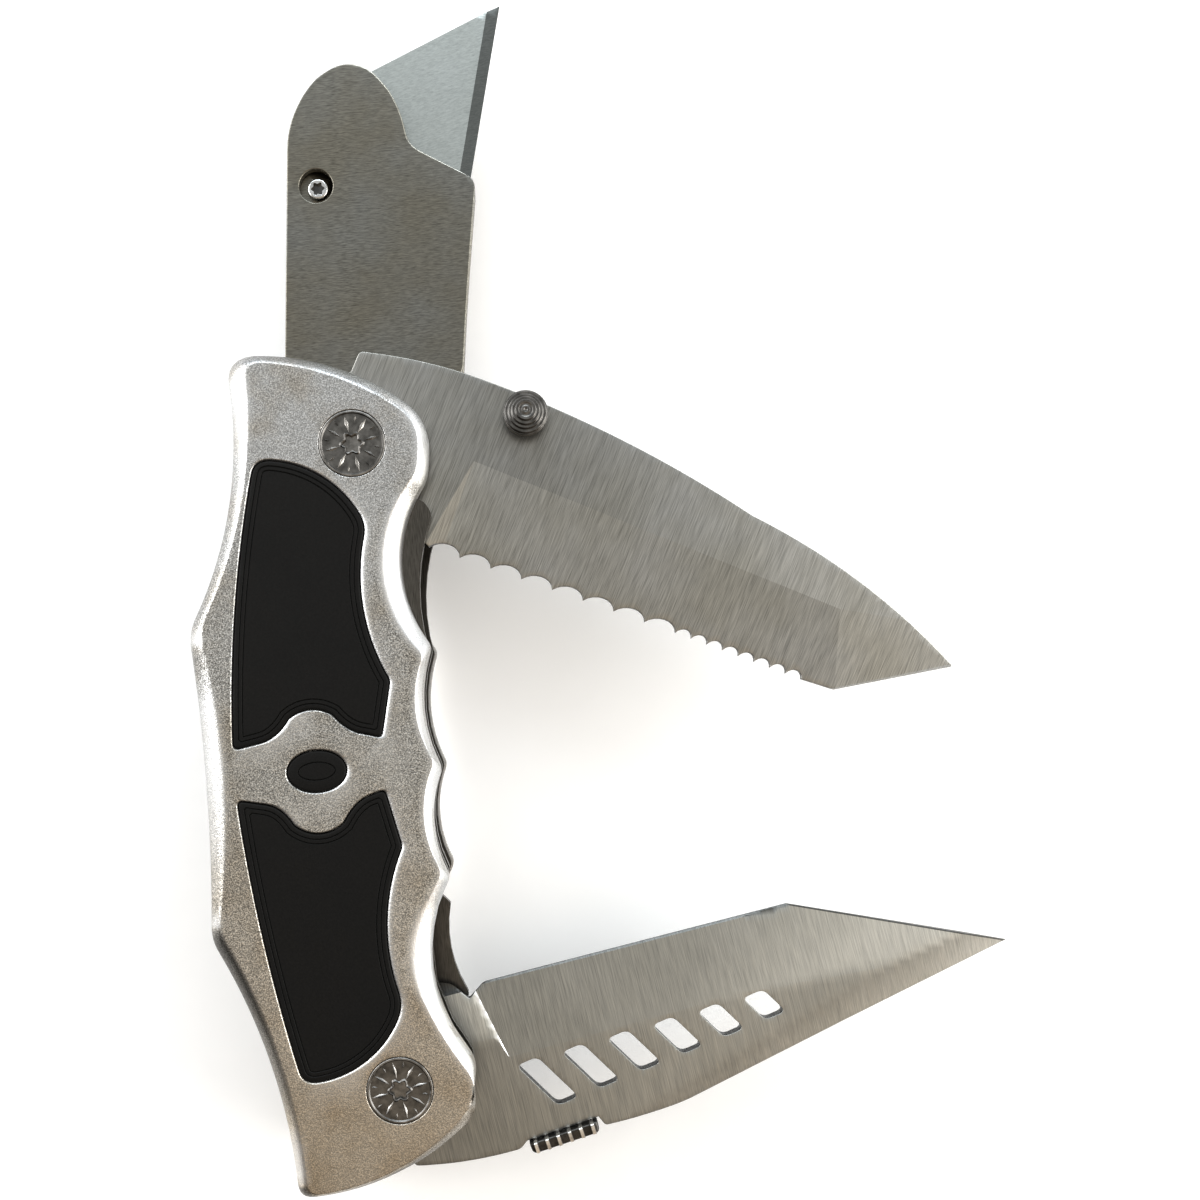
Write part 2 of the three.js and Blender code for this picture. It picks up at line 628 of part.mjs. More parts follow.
function slottedBladeSolid() {
  const edgeCorner = [56.2, -24.3];
  const tip = [87.3, -31.8];
  const { heel, nose } = tabEnds;
  const corners = [
    ...tangArc(lowerPivot, 268, 78),
    [3.6, -31.6, 0, 0.6],
    [7.4, -32.3, 0, 0.8],
    [9.8, -34.5, 0, 0.3],
    [12, -32.3, 0, 0.5],
    [...edgeCorner, 0, 0],
    [...tip, 0, 0],
    [62.9, -41.7, 0, 0],
    [39.5, -51.4, 0.2, 1.5],
    [27.9, -53.9, 0, 0.4],
    [nose[0] + 0.3, nose[1] + 0.3, 0, 0],
    [heel[0] - 0.3, heel[1] + 0.1, 0, 0],
    [15.6, -56.4, 0.5, 0.5],
    [0.3, -57.7, 0, 0.6],
  ];
  const grindStart = [14.9, -43.2];
  const grindEnd = [60.3, -34.2];
  const tipGrindStart = [60.2, -35.3];
  const tipGrindEnd = [84.5, -32.7];
  const swedgeStart = [35.9, -50.9];
  const swedgeEnd = [70, -34.2];
  const swedgeVanishing = [62.9, -45]; // where the swedge's two sides would meet
  const mainRegion = [
    [10, -34.2, 0, 0],
    [8, -20, 0, 0],
    [56.2, -15, 0, 0],
    [...edgeCorner, 0, 0],
    [...grindEnd, 0, 0],
    [...grindStart, 0, 0],
  ];
  const tipRegion = [
    [56.2, -24.2, 0, 0],
    [56.2, -10, 0, 0],
    [95, -20, 0, 0],
    [95, -31.8, 0, 0],
    [...tipGrindEnd, 0, 0],
    [...tipGrindStart, 0, 0],
  ];
  const swedgeRegion = [
    [33, -53.5, 0, 0],
    [...swedgeStart, 0, 0],
    [...swedgeEnd, 0, 0],
    [90, -34, 0, 0],
    [90, -50, 0, 0],
    [40, -60, 0, 0],
  ];
  let body = prism(outline(corners, BLADE_STEPS), slotted.bottom, slotted.top);
  body = grind(body, slotted, mainRegion, grindStart, grindEnd, edgeCorner);
  body = grind(body, slotted, tipRegion, tipGrindStart, tipGrindEnd, edgeCorner);
  body = grind(body, slotted, swedgeRegion, swedgeStart, swedgeEnd, swedgeVanishing);
  const slots = Array.from({ length: SLOT_COUNT }, (_, index) =>
    prism(slotOutline(index), slotted.bottom - 1, slotted.top + 1));
  return cut(body, pivotHole(slotted, lowerPivot), ...slots);
}

const TAB_OVERHANG = 1.4; // how far the tab stands out each side of the blade
const TAB_REACH = 1.6; // how far it stands out past the blade's spine
const TAB_RIBS = 6;
const RIB_GROOVE_DEPTH = 0.5;
const RIB_GROOVE_SHARE = 0.44; // the part of a rib's pitch that is groove
function thumbTabSolid() {
  const heel = new THREE.Vector2(...tabEnds.heel);
  const nose = new THREE.Vector2(...tabEnds.nose);
  const along = nose.clone().sub(heel).normalize();
  const outwards = new THREE.Vector2(along.y, -along.x);
  const length = heel.distanceTo(nose);
  const pitch = length / TAB_RIBS;
  const at = (s, d) => {
    const point = heel.clone().addScaledVector(along, s).addScaledVector(outwards, d);
    return [point.x, point.y, 0, 0];
  };
  const low = slotted.bottom - TAB_OVERHANG;
  const high = slotted.top + TAB_OVERHANG;
  const block = (start, end, near, far) =>
    outline([at(start, near), at(end, near), at(end, far), at(start, far)]);
  const body = prism(block(0, length, 0, TAB_REACH), low, high);
  const groove = (index) => {
    const middle = (index + 0.5) * pitch;
    const half = (pitch * RIB_GROOVE_SHARE) / 2;
    const channel = block(middle - half, middle + half, -1, TAB_REACH + 1);
    return [
      prism(channel, high - RIB_GROOVE_DEPTH, high + 1),
      prism(channel, low - 1, low + RIB_GROOVE_DEPTH),
    ];
  };
  return cut(body, ...Array.from({ length: TAB_RIBS }, (_, index) => groove(index)).flat());
}

// ---- utility-blade holder ----
const PLATE = 1.1;
const holderFront = layer(holder.top - PLATE, PLATE);
const holderBack = layer(holder.bottom, PLATE);
const holderCore = layer(holderBack.top + STATIC_GAP, HOLDER_THICKNESS - 2 * PLATE - 2 * STATIC_GAP);
const UTILITY_THICKNESS = 0.6;
const TRAY_CLEARANCE = 0.25; // round the utility blade in its tray in the core
const utility = layer(holderCore.top - UTILITY_THICKNESS, UTILITY_THICKNESS);
const holderScrew = new THREE.Vector2(-3.7, 84.6);
const holderWindow = new THREE.Vector2(-3.9, 84.9); // the screw stands a little off the window's middle
const WINDOW_RADIUS = 2.45;
const CORE_INSET = 0.4; // the core lies this far inside the edge of the plates
const SMALL_SCREW = { radius: 1.5, headHeight: 0.8, shankRadius: 1, recessRadius: 0.7, recessDepth: 0.5 };

const holderOutline = outline([
  ...tangArc(upperPivot, 30, -190, 14),
  [-10.8, 54, 0, 2],
  [-7.5, 93.2, 0, 2.5],
  [-5, 98.5, 0.9, 3],
  [3.4, 102.9, 0.6, 3],
  [9.3, 95.2, 0, 3],
  [10, 89.9, 0, 2],
  [19.5, 84.2, 0, 1.6],
  [17, 68, 0, 9],
  [15.6, 56.3, 0, 1.2],
], 5, 4);

// The trapezoid blade: its sharp tip, and the ways its cutting edge and its slanted end run back.
const bladeTip = new THREE.Vector2(24.9, 110);
const EDGE_LENGTH = 61;
const BACK_LENGTH = 33;
const BLADE_WIDTH = 18.7;
const BEVEL = 1.7;
const BEVEL_VANISHING = -0.6; // the bevel's planes meet beyond the edge, which keeps it blunt
const edgeWay = new THREE.Vector2(-0.238, -0.971).normalize();
const backWay = new THREE.Vector2(edgeWay.y, -edgeWay.x);
function onBlade(alongEdge, fromEdge) {
  const point = bladeTip.clone().addScaledVector(edgeWay, alongEdge).addScaledVector(backWay, fromEdge);
  return [point.x, point.y, 0, 0];
}
const slant = (EDGE_LENGTH - BACK_LENGTH) / 2;
const NOTCH_OFFSET = 6;
const NOTCH_HALF_WIDTH = 1.2;
const NOTCH_DEPTH = 2.5;
const notch = (middle) => [
  onBlade(middle + NOTCH_HALF_WIDTH, BLADE_WIDTH),
  onBlade(middle + NOTCH_HALF_WIDTH, BLADE_WIDTH - NOTCH_DEPTH),
  onBlade(middle - NOTCH_HALF_WIDTH, BLADE_WIDTH - NOTCH_DEPTH),
  onBlade(middle - NOTCH_HALF_WIDTH, BLADE_WIDTH),
];
const utilityOutline = outline([
  onBlade(0, 0),
  onBlade(EDGE_LENGTH, 0),
  onBlade(EDGE_LENGTH - slant, BLADE_WIDTH),
  ...notch(EDGE_LENGTH / 2 + NOTCH_OFFSET),
  ...notch(EDGE_LENGTH / 2 - NOTCH_OFFSET),
  onBlade(slant, BLADE_WIDTH),
]);

function utilityBladeSolid() {
  const body = prism(utilityOutline, utility.bottom, utility.top);
  const beyond = EDGE_LENGTH + 9;
  const region = [onBlade(-9, -9), onBlade(beyond, -9), onBlade(beyond, BEVEL), onBlade(-9, BEVEL)];
  const start = onBlade(0, BEVEL);
  const end = onBlade(EDGE_LENGTH, BEVEL);
  return grind(body, utility, region, start, end, onBlade(EDGE_LENGTH / 2, BEVEL_VANISHING));
}

// The screw that clamps the plates stands in the front plate's window, and its nut in the back's.
function holderScrewSolid() {
  const { radius, headHeight, shankRadius, recessRadius, recessDepth } = SMALL_SCREW;
  const headBottom = holderCore.top + STATIC_GAP;
  const headTop = headBottom + headHeight;
  const shankEnd = holderBack.bottom + 2 * STATIC_GAP;
  const body = turned([
    [0, shankEnd],
    [shankRadius, shankEnd],
    [shankRadius, headBottom],
    [radius, headBottom],
    [radius, headTop],
    [0, headTop],
  ], holderScrew, HEAD_SEGMENTS);
  return cut(body, disc(recessRadius, headTop - recessDepth, holder.top, holderScrew, 6));
}

function holderNutSolid() {
  const inner = SMALL_SCREW.shankRadius + FIT_GAP;
  const outer = WINDOW_RADIUS - FIT_GAP;
  const low = holderBack.bottom + STATIC_GAP;
  const high = holderBack.top - STATIC_GAP;
  return turned([[inner, low], [outer, low], [outer, high], [inner, high], [inner, low]], holderScrew);
}

function holderMeshes() {
  const through = (radius, { bottom, top }, centre) => disc(radius, bottom - 1, top + 1, centre);
  const plate = (place, window) => cut(
    prism(holderOutline, place.bottom, place.top),
    through(PIVOT_RADIUS + FIT_GAP, place, upperPivot),
    through(WINDOW_RADIUS, place, window),
  );
  const tray = prism(inset(outline([
    onBlade(0, 0),
    onBlade(EDGE_LENGTH, 0),
    onBlade(EDGE_LENGTH - slant, BLADE_WIDTH),
    onBlade(slant, BLADE_WIDTH),
  ]), -TRAY_CLEARANCE), utility.bottom - STATIC_GAP, holderCore.top + 1);
  const core = cut(
    prism(inset(holderOutline, CORE_INSET), holderCore.bottom, holderCore.top),
    through(PIVOT_RADIUS + FIT_GAP, holderCore, upperPivot),
    through(SMALL_SCREW.shankRadius + FIT_GAP, holderCore, holderScrew),
    tray,
  );
  return [
    meshOf("holder_front_plate", plate(holderFront, holderWindow), holderSteel),
    meshOf("holder_core", core, holderSteel),
    meshOf("holder_back_plate", plate(holderBack, holderScrew), holderSteel),
    meshOf("utility_blade", utilityBladeSolid(), razorSteel),
    meshOf("holder_screw", holderScrewSolid(), screwSteel),
    meshOf("holder_screw_nut", holderNutSolid(), screwSteel),
  ];
}

function bladeMeshes() {
  return [
    meshOf("serrated_blade", serratedBladeSolid(), bladeSteel),
    meshOf("thumb_stud", thumbStudSolid(), screwSteel),
    meshOf("slotted_blade", slottedBladeSolid(), bladeSteel),
    meshOf("thumb_tab", thumbTabSolid(), screwSteel),
  ];
}

const knife = new THREE.Group();
knife.add(
  ...scaleMeshes(),
  ...linerMeshes(),
  ...pivotMeshes(),
  ...washerMeshes(),
  ...bladeMeshes(),
  ...holderMeshes(),
);
export default knife;
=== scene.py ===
"""The looks of a folding three-tool knife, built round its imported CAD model.

Shapes are given in millimetres in the CAD model's frame and become metres when a mesh is made.
The knife lies on its rear scale: +Z is up through its layers, +Y runs from the lower pivot to the
upper one, and +X is the side where the tools fold in.
"""

import json
import math

import bmesh
import bpy
import numpy as np
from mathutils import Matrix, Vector, geometry


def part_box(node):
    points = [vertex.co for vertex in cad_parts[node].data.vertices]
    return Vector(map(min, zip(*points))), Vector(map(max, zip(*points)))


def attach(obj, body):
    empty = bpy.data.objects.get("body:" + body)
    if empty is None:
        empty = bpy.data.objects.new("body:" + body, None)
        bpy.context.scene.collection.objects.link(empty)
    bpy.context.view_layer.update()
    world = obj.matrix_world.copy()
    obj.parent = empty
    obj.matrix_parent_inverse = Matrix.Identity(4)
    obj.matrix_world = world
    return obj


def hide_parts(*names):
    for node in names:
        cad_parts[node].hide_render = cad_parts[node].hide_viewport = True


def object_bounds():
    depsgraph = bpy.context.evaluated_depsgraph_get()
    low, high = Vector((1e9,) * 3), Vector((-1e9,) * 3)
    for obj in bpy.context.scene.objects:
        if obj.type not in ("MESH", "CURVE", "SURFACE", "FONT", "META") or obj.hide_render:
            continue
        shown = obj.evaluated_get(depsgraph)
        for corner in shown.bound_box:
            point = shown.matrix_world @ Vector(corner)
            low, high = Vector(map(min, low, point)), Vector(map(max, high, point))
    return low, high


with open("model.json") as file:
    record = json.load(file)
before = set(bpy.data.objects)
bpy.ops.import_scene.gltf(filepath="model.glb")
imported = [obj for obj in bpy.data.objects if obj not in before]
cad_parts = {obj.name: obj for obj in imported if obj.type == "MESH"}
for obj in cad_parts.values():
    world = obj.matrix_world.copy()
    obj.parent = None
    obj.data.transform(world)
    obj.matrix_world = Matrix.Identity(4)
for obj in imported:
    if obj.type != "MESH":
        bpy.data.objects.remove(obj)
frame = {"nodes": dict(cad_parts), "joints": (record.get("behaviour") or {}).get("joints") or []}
cad_box = [list(corner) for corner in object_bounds()]

MM = 0.001


# ---- places from the frame ----
def heights(node):
    """The lowest and highest level of a CAD node, in millimetres."""
    low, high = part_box(node)
    return low.z / MM, high.z / MM


def hinge_centre(joint):
    """Where a hinge's axis crosses the plan, in millimetres."""
    found = next(row for row in frame["joints"] if row["name"] == joint)
    return np.array(found["pos_m"][:2]) / MM


def middle_of(node):
    """The middle of a CAD node in plan, in millimetres."""
    low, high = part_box(node)
    return np.array([(low.x + high.x) / 2, (low.y + high.y) / 2]) / MM


UPPER_PIVOT = hinge_centre("serrated_fold")
LOWER_PIVOT = hinge_centre("slotted_fold")
PIVOTS = {"upper": UPPER_PIVOT, "lower": LOWER_PIVOT}


# ---- outlines ----
POINT_SPACING = 0.45  # along round stretches
CORNER_STEPS = 6
LEAST_MITRE = 0.2  # holds the step at a sharp corner to five times its sides' step
UNFOLDED = 0.98  # a moved point nearer to its loop than this part of the distance has folded over


def arc_point(a, b, bulge, t):
    """The point at the fraction t of the arc from a to b that rises by the bulge to its left."""
    if bulge == 0:
        return a + (b - a) * t
    chord = np.linalg.norm(b - a)
    along = (b - a) / chord
    left = np.array([-along[1], along[0]])
    radius = (chord**2 / 4 + bulge**2) / (2 * bulge)
    angle = 2 * math.atan(2 * bulge / chord) * (2 * t - 1)
    across = radius * math.cos(angle) - radius + bulge
    return (a + b) / 2 + along * radius * math.sin(angle) + left * across


def outline(corners, steps=None):
    """A closed anticlockwise outline through clockwise corners (x, y, bulge, round).

    The bulge is how far the side after a corner rises outwards, and round is how much of each side
    the corner's curve takes. Sides get steps points, or as many as their length needs.
    """
    corners = [tuple(corner) + (0,) * (4 - len(corner)) for corner in corners]
    points = []
    for index, corner in enumerate(corners):
        following = corners[(index + 1) % len(corners)]
        beyond = corners[(index + 2) % len(corners)]
        start, end, after = (np.array(c[:2], float) for c in (corner, following, beyond))
        length = np.linalg.norm(end - start)
        first = corner[3] / length
        last = 1 - following[3] / length
        count = steps or max(1, math.ceil(length * (last - first) / POINT_SPACING))
        for t in np.linspace(first, last, count + 1):
            points.append(arc_point(start, end, corner[2], t))
        if following[3]:
            leave = points[-1]
            join = arc_point(end, after, following[2], following[3] / np.linalg.norm(after - end))
            for t in np.linspace(0, 1, CORNER_STEPS + 1)[1:-1]:
                points.append((1 - t) ** 2 * leave + 2 * t * (1 - t) * end + t**2 * join)
    points = np.array(points)
    distinct = np.linalg.norm(points - np.roll(points, -1, axis=0), axis=1) > 1e-4
    return points[distinct][::-1]


def circle(centre, radius, count=64):
    """Points round a centre. The radius may differ for each point, or for x and y."""
    turn = np.arange(count) * 2 * math.pi / count
    return centre + radius * np.stack([np.cos(turn), np.sin(turn)], axis=1)


def unit(vectors):
    return vectors / np.maximum(np.linalg.norm(vectors, axis=-1, keepdims=True), 1e-12)


def nearest_on(points, loop):
    """The nearest point of a closed loop to each point."""
    nearest = np.zeros((len(points), 2))
    smallest = np.full(len(points), np.inf)
    for start, end in zip(loop, np.roll(loop, -1, axis=0)):
        way = end - start
        share = np.clip((points - start) @ way / max(way @ way, 1e-12), 0, 1)
        spots = start + share[:, None] * way
        gaps = ((points - spots) ** 2).sum(axis=1)
        closer = gaps < smallest
        nearest[closer] = spots[closer]
        smallest[closer] = gaps[closer]
    return nearest


def gap_to(points, loop):
    """The distance from each point to a closed loop."""
    return np.linalg.norm(points - nearest_on(points, loop), axis=1)


def inward_steps(loop):
    """The step at each point of a closed loop that moves the sides beside it inwards by one."""
    incoming = unit(loop - np.roll(loop, 1, axis=0))
    outgoing = unit(np.roll(loop, -1, axis=0) - loop)
    along = unit(incoming + outgoing)
    inwards = np.stack([-along[:, 1], along[:, 0]], axis=1)
    return inwards / np.maximum((along * outgoing).sum(1), LEAST_MITRE)[:, None]


def offset(loop, distance):
    """A closed loop moved inwards, by one distance or one for each point.

    It leaves out the points that a tight corner would fold over.
    """
    distance = np.broadcast_to(distance, len(loop))
    if not distance.any():
        return loop
    moved = loop + inward_steps(loop) * distance[:, None]
    return moved[gap_to(moved, loop) >= np.abs(distance) * UNFOLDED]


def inside(points, loop):
    """Which points lie inside a closed loop."""
    x, y = points[:, 0:1], points[:, 1:2]
    x1, y1 = loop.T
    x2, y2 = np.roll(loop, -1, axis=0).T
    rise = np.where(y2 == y1, 1e-12, y2 - y1)
    crosses = (y1 > y) != (y2 > y)
    return (crosses & (x < x1 + (y - y1) * (x2 - x1) / rise)).sum(axis=1) % 2 == 1


# ---- ground facets: planes of depth below a blade's flat, as (a, b, c) in depth = a x + b y + c ----
def facet(start, end, through, depth):
    """The plane that starts at the line start-end and is that deep at the point through."""
    start, end, through = (np.array(point, float) for point in (start, end, through))
    normal = np.array([start[1] - end[1], end[0] - start[0]])
    normal = normal * depth / (normal @ (through - start))
    return np.array([normal[0], normal[1], -normal @ start])


def edge_facet(start, end, within, depth, slope):
    """The plane that has a depth at the edge start-end and rises by a slope towards within."""
    edge = facet(start, end, within, 1)
    return np.append(-edge[:2] / np.linalg.norm(edge[:2]) * slope, 0) + np.array(
        [0, 0, depth - edge[2] / np.linalg.norm(edge[:2]) * slope]
    )


def depth_on(plane, points):
    return points @ plane[:2] + plane[2]


FLAT = np.zeros(3)
CREASE_STEP = 0.5
ON_SURFACE = 0.015


def creases(facets, depth, reach=130):
    """The lines in plan where two facets meet and are the surface itself, in short steps."""
    lines = []
    planes = [FLAT, *facets]
    for index, one in enumerate(planes):
        for other in planes[index + 1:]:
            a, b, c = one - other
            size = math.hypot(a, b)
            if size < 1e-9:
                continue
            foot = np.array([-a * c, -b * c]) / size**2
            along = np.array([-b, a]) / size
            points = foot + np.arange(-reach, reach, CREASE_STEP)[:, None] * along
            middles = (points[1:] + points[:-1]) / 2
            real = np.abs(depth(middles) - depth_on(one, middles)) < ON_SURFACE
            lines += [(points[i:i + 2], None, False, True) for i in np.flatnonzero(real)]
    return lines


# ---- solids seen in plan ----
ROUND_STEPS = 3
EDGE_HALF_THICKNESS = 0.04  # no ground edge is thinner than twice this
CREASE_ANGLE = math.radians(32)
LEVEL_TURN = math.radians(0.3)  # a line between faces that turn less than this isn't sharp


def rounded(loop, radius, side=1, steps=ROUND_STEPS):
    """Rings that round an edge: the loop itself, then inwards (side 1) or outwards (side -1) and up."""
    rings = []
    for step in range(steps + 1):
        angle = step / steps * math.pi / 2
        moved = offset(loop, side * radius * (1 - math.cos(angle)))
        rings.append((moved, radius * (1 - math.sin(angle))))
    return rings


def scattered(spots):
    """Single points as lines for a plan."""
    return [(spots[i:i + 1], None, False, False) for i in range(len(spots))]


def triangulate(lines, region):
    """Points, the deepest drop that a line gives each, creased point pairs and triangles of a plan.

    Each line is (points, drop, closed, crisp), and region says which triangle middles are kept.
    """
    points, edges, owners = [], [], []
    for index, (line, _, closed, _) in enumerate(lines):
        start = len(points)
        points.extend(Vector(point) for point in line)
        for step in range(len(line) if closed else len(line) - 1):
            edges.append((start + step, start + (step + 1) % len(line)))
            owners.append(index)
    plan, plan_edges, faces, _, sources, _ = geometry.delaunay_2d_cdt(points, edges, [], 0, 1e-5)
    plan = np.array([tuple(point) for point in plan])
    drops = np.full(len(plan), -np.inf)
    crisp = set()
    for edge, found in zip(plan_edges, sources):
        for source in found:
            _, drop, _, is_crisp = lines[owners[source]]
            if drop is not None:
                drops[list(edge)] = np.maximum(drops[list(edge)], drop)
            if is_crisp:
                crisp.add(frozenset(edge))
    drops[np.isinf(drops)] = 0
    faces = np.array([tuple(face) for face in faces])
    faces = faces[region(plan[faces].mean(axis=1))]
    return plan, drops, crisp, faces


def plan_solid(
    name, outer, holes, span, lines=(), depth=None, facets=(), grid=0, flat_below=False, flip=False,
    shade=None, wall_shade=0.0,
):
    """A closed mesh between two levels, whose top follows rings, lines and ground facets in plan.

    outer and each hole are lists of rings (loop, drop), from the boundary inwards; the drop is how
    far a ring lies below the top. depth(points) is how far grinding lowers the top; the underside
    mirrors the top unless it is flat. lines are more (points, drop, closed, crisp) features.
    shade(points) is the painted light or shade there, how much brighter or darker, and wall_shade is the
    walls'.
    """
    low, high = span
    boundary = outer[0][0]
    hole_loops = [rings[0][0] for rings in holes]
    every = [(loop, drop, True, False) for rings in [outer, *holes] for loop, drop in rings]
    every += list(lines)
    if facets:
        every += creases(facets, depth)
    if grid:
        (x1, y1), (x2, y2) = boundary.min(axis=0), boundary.max(axis=0)
        spots = np.array([(x, y) for x in np.arange(x1, x2, grid) for y in np.arange(y1, y2, grid)])
        spots = spots[inside(spots, boundary)]
        spots = spots[gap_to(spots, boundary) > grid / 2]
        every += scattered(spots)

    def region(middles):
        kept = inside(middles, boundary)
        for loop in hole_loops:
            kept &= ~inside(middles, loop)
        return kept

    plan, drops, crisp, faces = triangulate(every, region)
    lowered = drops + (depth(plan) if depth else 0)
    thinnest = (high - low) / 2 - EDGE_HALF_THICKNESS
    if not flat_below:
        lowered = np.minimum(lowered, thinnest)
    top = high - lowered
    bottom = np.full(len(plan), low) if flat_below else low + lowered
    piece = closed_mesh(name, plan, top, bottom, faces, crisp, flip and low + high)
    if shade or wall_shade:
        add_shade(piece, shade, wall_shade)
    return piece


UPRIGHT = 0.2  # a face whose normal rises less than this is a wall
INTO_FACE = 0.02  # how far from its corner towards its middle a face's shade is taken


def add_shade(piece, shade, wall_shade):
    """Writes the shade attribute for each face corner, taken just inside its face."""
    mesh = piece.data
    values = np.zeros(len(mesh.loops))
    spots = np.zeros((len(mesh.loops), 2))
    walls = np.zeros(len(mesh.loops), bool)
    for face in mesh.polygons:
        middle = np.array(face.center)[:2] / MM
        for loop in face.loop_indices:
            corner = np.array(mesh.vertices[mesh.loops[loop].vertex_index].co)[:2] / MM
            spots[loop] = corner + (middle - corner) * INTO_FACE
            walls[loop] = abs(face.normal.z) < UPRIGHT
    if shade:
        values = shade(spots)
    values[walls] = wall_shade
    layer = mesh.attributes.new("shade", "FLOAT", "CORNER")
    layer.data.foreach_set("value", values)


def closed_mesh(name, plan, top, bottom, faces, crisp, mirror_sum):
    """Joins a top, its underside and the walls between them into one object."""
    count = len(plan)
    used = np.unique(faces)
    number = np.full(count, -1)
    number[used] = np.arange(len(used))
    faces = number[faces]
    total = len(used)
    sides = {}
    for a, b, c in faces:
        for edge in ((a, b), (b, c), (c, a)):
            sides[edge] = True
    walls = [(a + total, b + total, b, a) for a, b in sides if (b, a) not in sides]
    vertices = np.concatenate([
        np.column_stack([plan[used], top[used]]),
        np.column_stack([plan[used], bottom[used]]),
    ])
    polygons = [tuple(face) for face in faces]
    polygons += [tuple(face[::-1] + total) for face in faces]
    polygons += walls
    if mirror_sum:
        vertices[:, 2] = mirror_sum - vertices[:, 2]
        polygons = [face[::-1] for face in polygons]
    creased = {
        frozenset(number[list(pair)] + shift) for pair in crisp for shift in (0, total)
        if min(number[list(pair)]) >= 0
    }
    return mesh_object(name, vertices, polygons, creased)


def mesh_object(name, vertices, polygons, creased=()):
    """An object with smooth faces, sharp where faces meet at a large angle or on a crease."""
    mesh = bpy.data.meshes.new(name)
    mesh.from_pydata((np.asarray(vertices) * MM).tolist(), [], [[int(i) for i in f] for f in polygons])
    mesh.validate()
    shape = bmesh.new()
    shape.from_mesh(mesh)
    for face in shape.faces:
        face.smooth = True
    for edge in shape.edges:
        turn = edge.calc_face_angle(0)
        on_crease = frozenset(v.index for v in edge.verts) in creased
        edge.smooth = turn < CREASE_ANGLE and not (on_crease and turn > LEVEL_TURN)
    shape.to_mesh(mesh)
    shape.free()
    piece = bpy.data.objects.new(name, mesh)
    bpy.context.scene.collection.objects.link(piece)
    return evenly_shaded(piece)


def evenly_shaded(piece):
    """Weights a piece's normals by its faces' areas, but not across sharp edges."""
    normals = piece.modifiers.new("even_shading", "WEIGHTED_NORMAL")
    normals.keep_sharp = True
    return piece


def turned(name, profile, centre, count=96):
    """A turned solid from (radius, height) pairs that start and end on the axis."""
    rings = [(radius, height) for radius, height in profile if radius > 0]
    vertices = [(*centre, profile[0][1]), (*centre, profile[-1][1])]
    for radius, height in rings:
        vertices += [(x, y, height) for x, y in circle(centre, radius, count)]
    polygons = []
    for step in range(count):
        beside = (step + 1) % count
        polygons.append((0, 2 + beside, 2 + step))
        last = 2 + (len(rings) - 1) * count
        polygons.append((1, last + step, last + beside))
        for level in range(len(rings) - 1):
            base = 2 + level * count
            polygons.append((base + step, base + beside, base + count + beside, base + count + step))
    return mesh_object(name, vertices, polygons)


def softened(profile, amount):
    """A profile whose inner corners are each cut by a small chamfer."""
    points = [np.array(point, float) for point in profile]
    result = [points[0]]
    for before, here, after in zip(points, points[1:], points[2:]):
        back = before - here
        ahead = after - here
        result.append(here + back / np.linalg.norm(back) * min(amount, np.linalg.norm(back) / 3))
        result.append(here + ahead / np.linalg.norm(ahead) * min(amount, np.linalg.norm(ahead) / 3))
    result.append(points[-1])
    return result


# ---- materials ----
class Nodes:
    """Short ways to add nodes to a tree."""

    def __init__(self, tree):
        self.tree = tree

    def add(self, kind, **settings):
        node = self.tree.nodes.new(kind)
        for key, value in settings.items():
            setattr(node, key, value)
        return node

    def feed(self, socket, source):
        if isinstance(source, bpy.types.NodeSocket):
            self.tree.links.new(source, socket)
        else:
            socket.default_value = source

    def ramp(self, source, *stops):
        """A colour ramp through (position, colour) stops, where a colour may be one grey value."""
        node = self.add("ShaderNodeValToRGB")
        elements = node.color_ramp.elements
        while len(elements) < len(stops):
            elements.new(0.5)
        for element, (position, colour) in zip(elements, stops):
            element.position = position
            element.color = (*colour, 1) if isinstance(colour, tuple) else (colour, colour, colour, 1)
        self.feed(node.inputs["Fac"], source)
        return node.outputs["Color"]

    def blend(self, kind, share, first, second):
        """A mix of two colours, through the mix node's colour sockets."""
        node = self.add("ShaderNodeMix", data_type="RGBA", blend_type=kind)
        self.feed(node.inputs["Factor"], share)
        for socket, source in ((node.inputs[6], first), (node.inputs[7], second)):
            self.feed(socket, (*source, 1) if isinstance(source, tuple) else source)
        return node.outputs[2]

    def remap(self, source, low, high, from_low=0.3, from_high=0.7):
        """A value spread from one span to another, and held at its ends."""
        node = self.add("ShaderNodeMapRange")
        self.feed(node.inputs["Value"], source)
        node.inputs["From Min"].default_value = from_low
        node.inputs["From Max"].default_value = from_high
        node.inputs["To Min"].default_value = low
        node.inputs["To Max"].default_value = high
        return node.outputs["Result"]


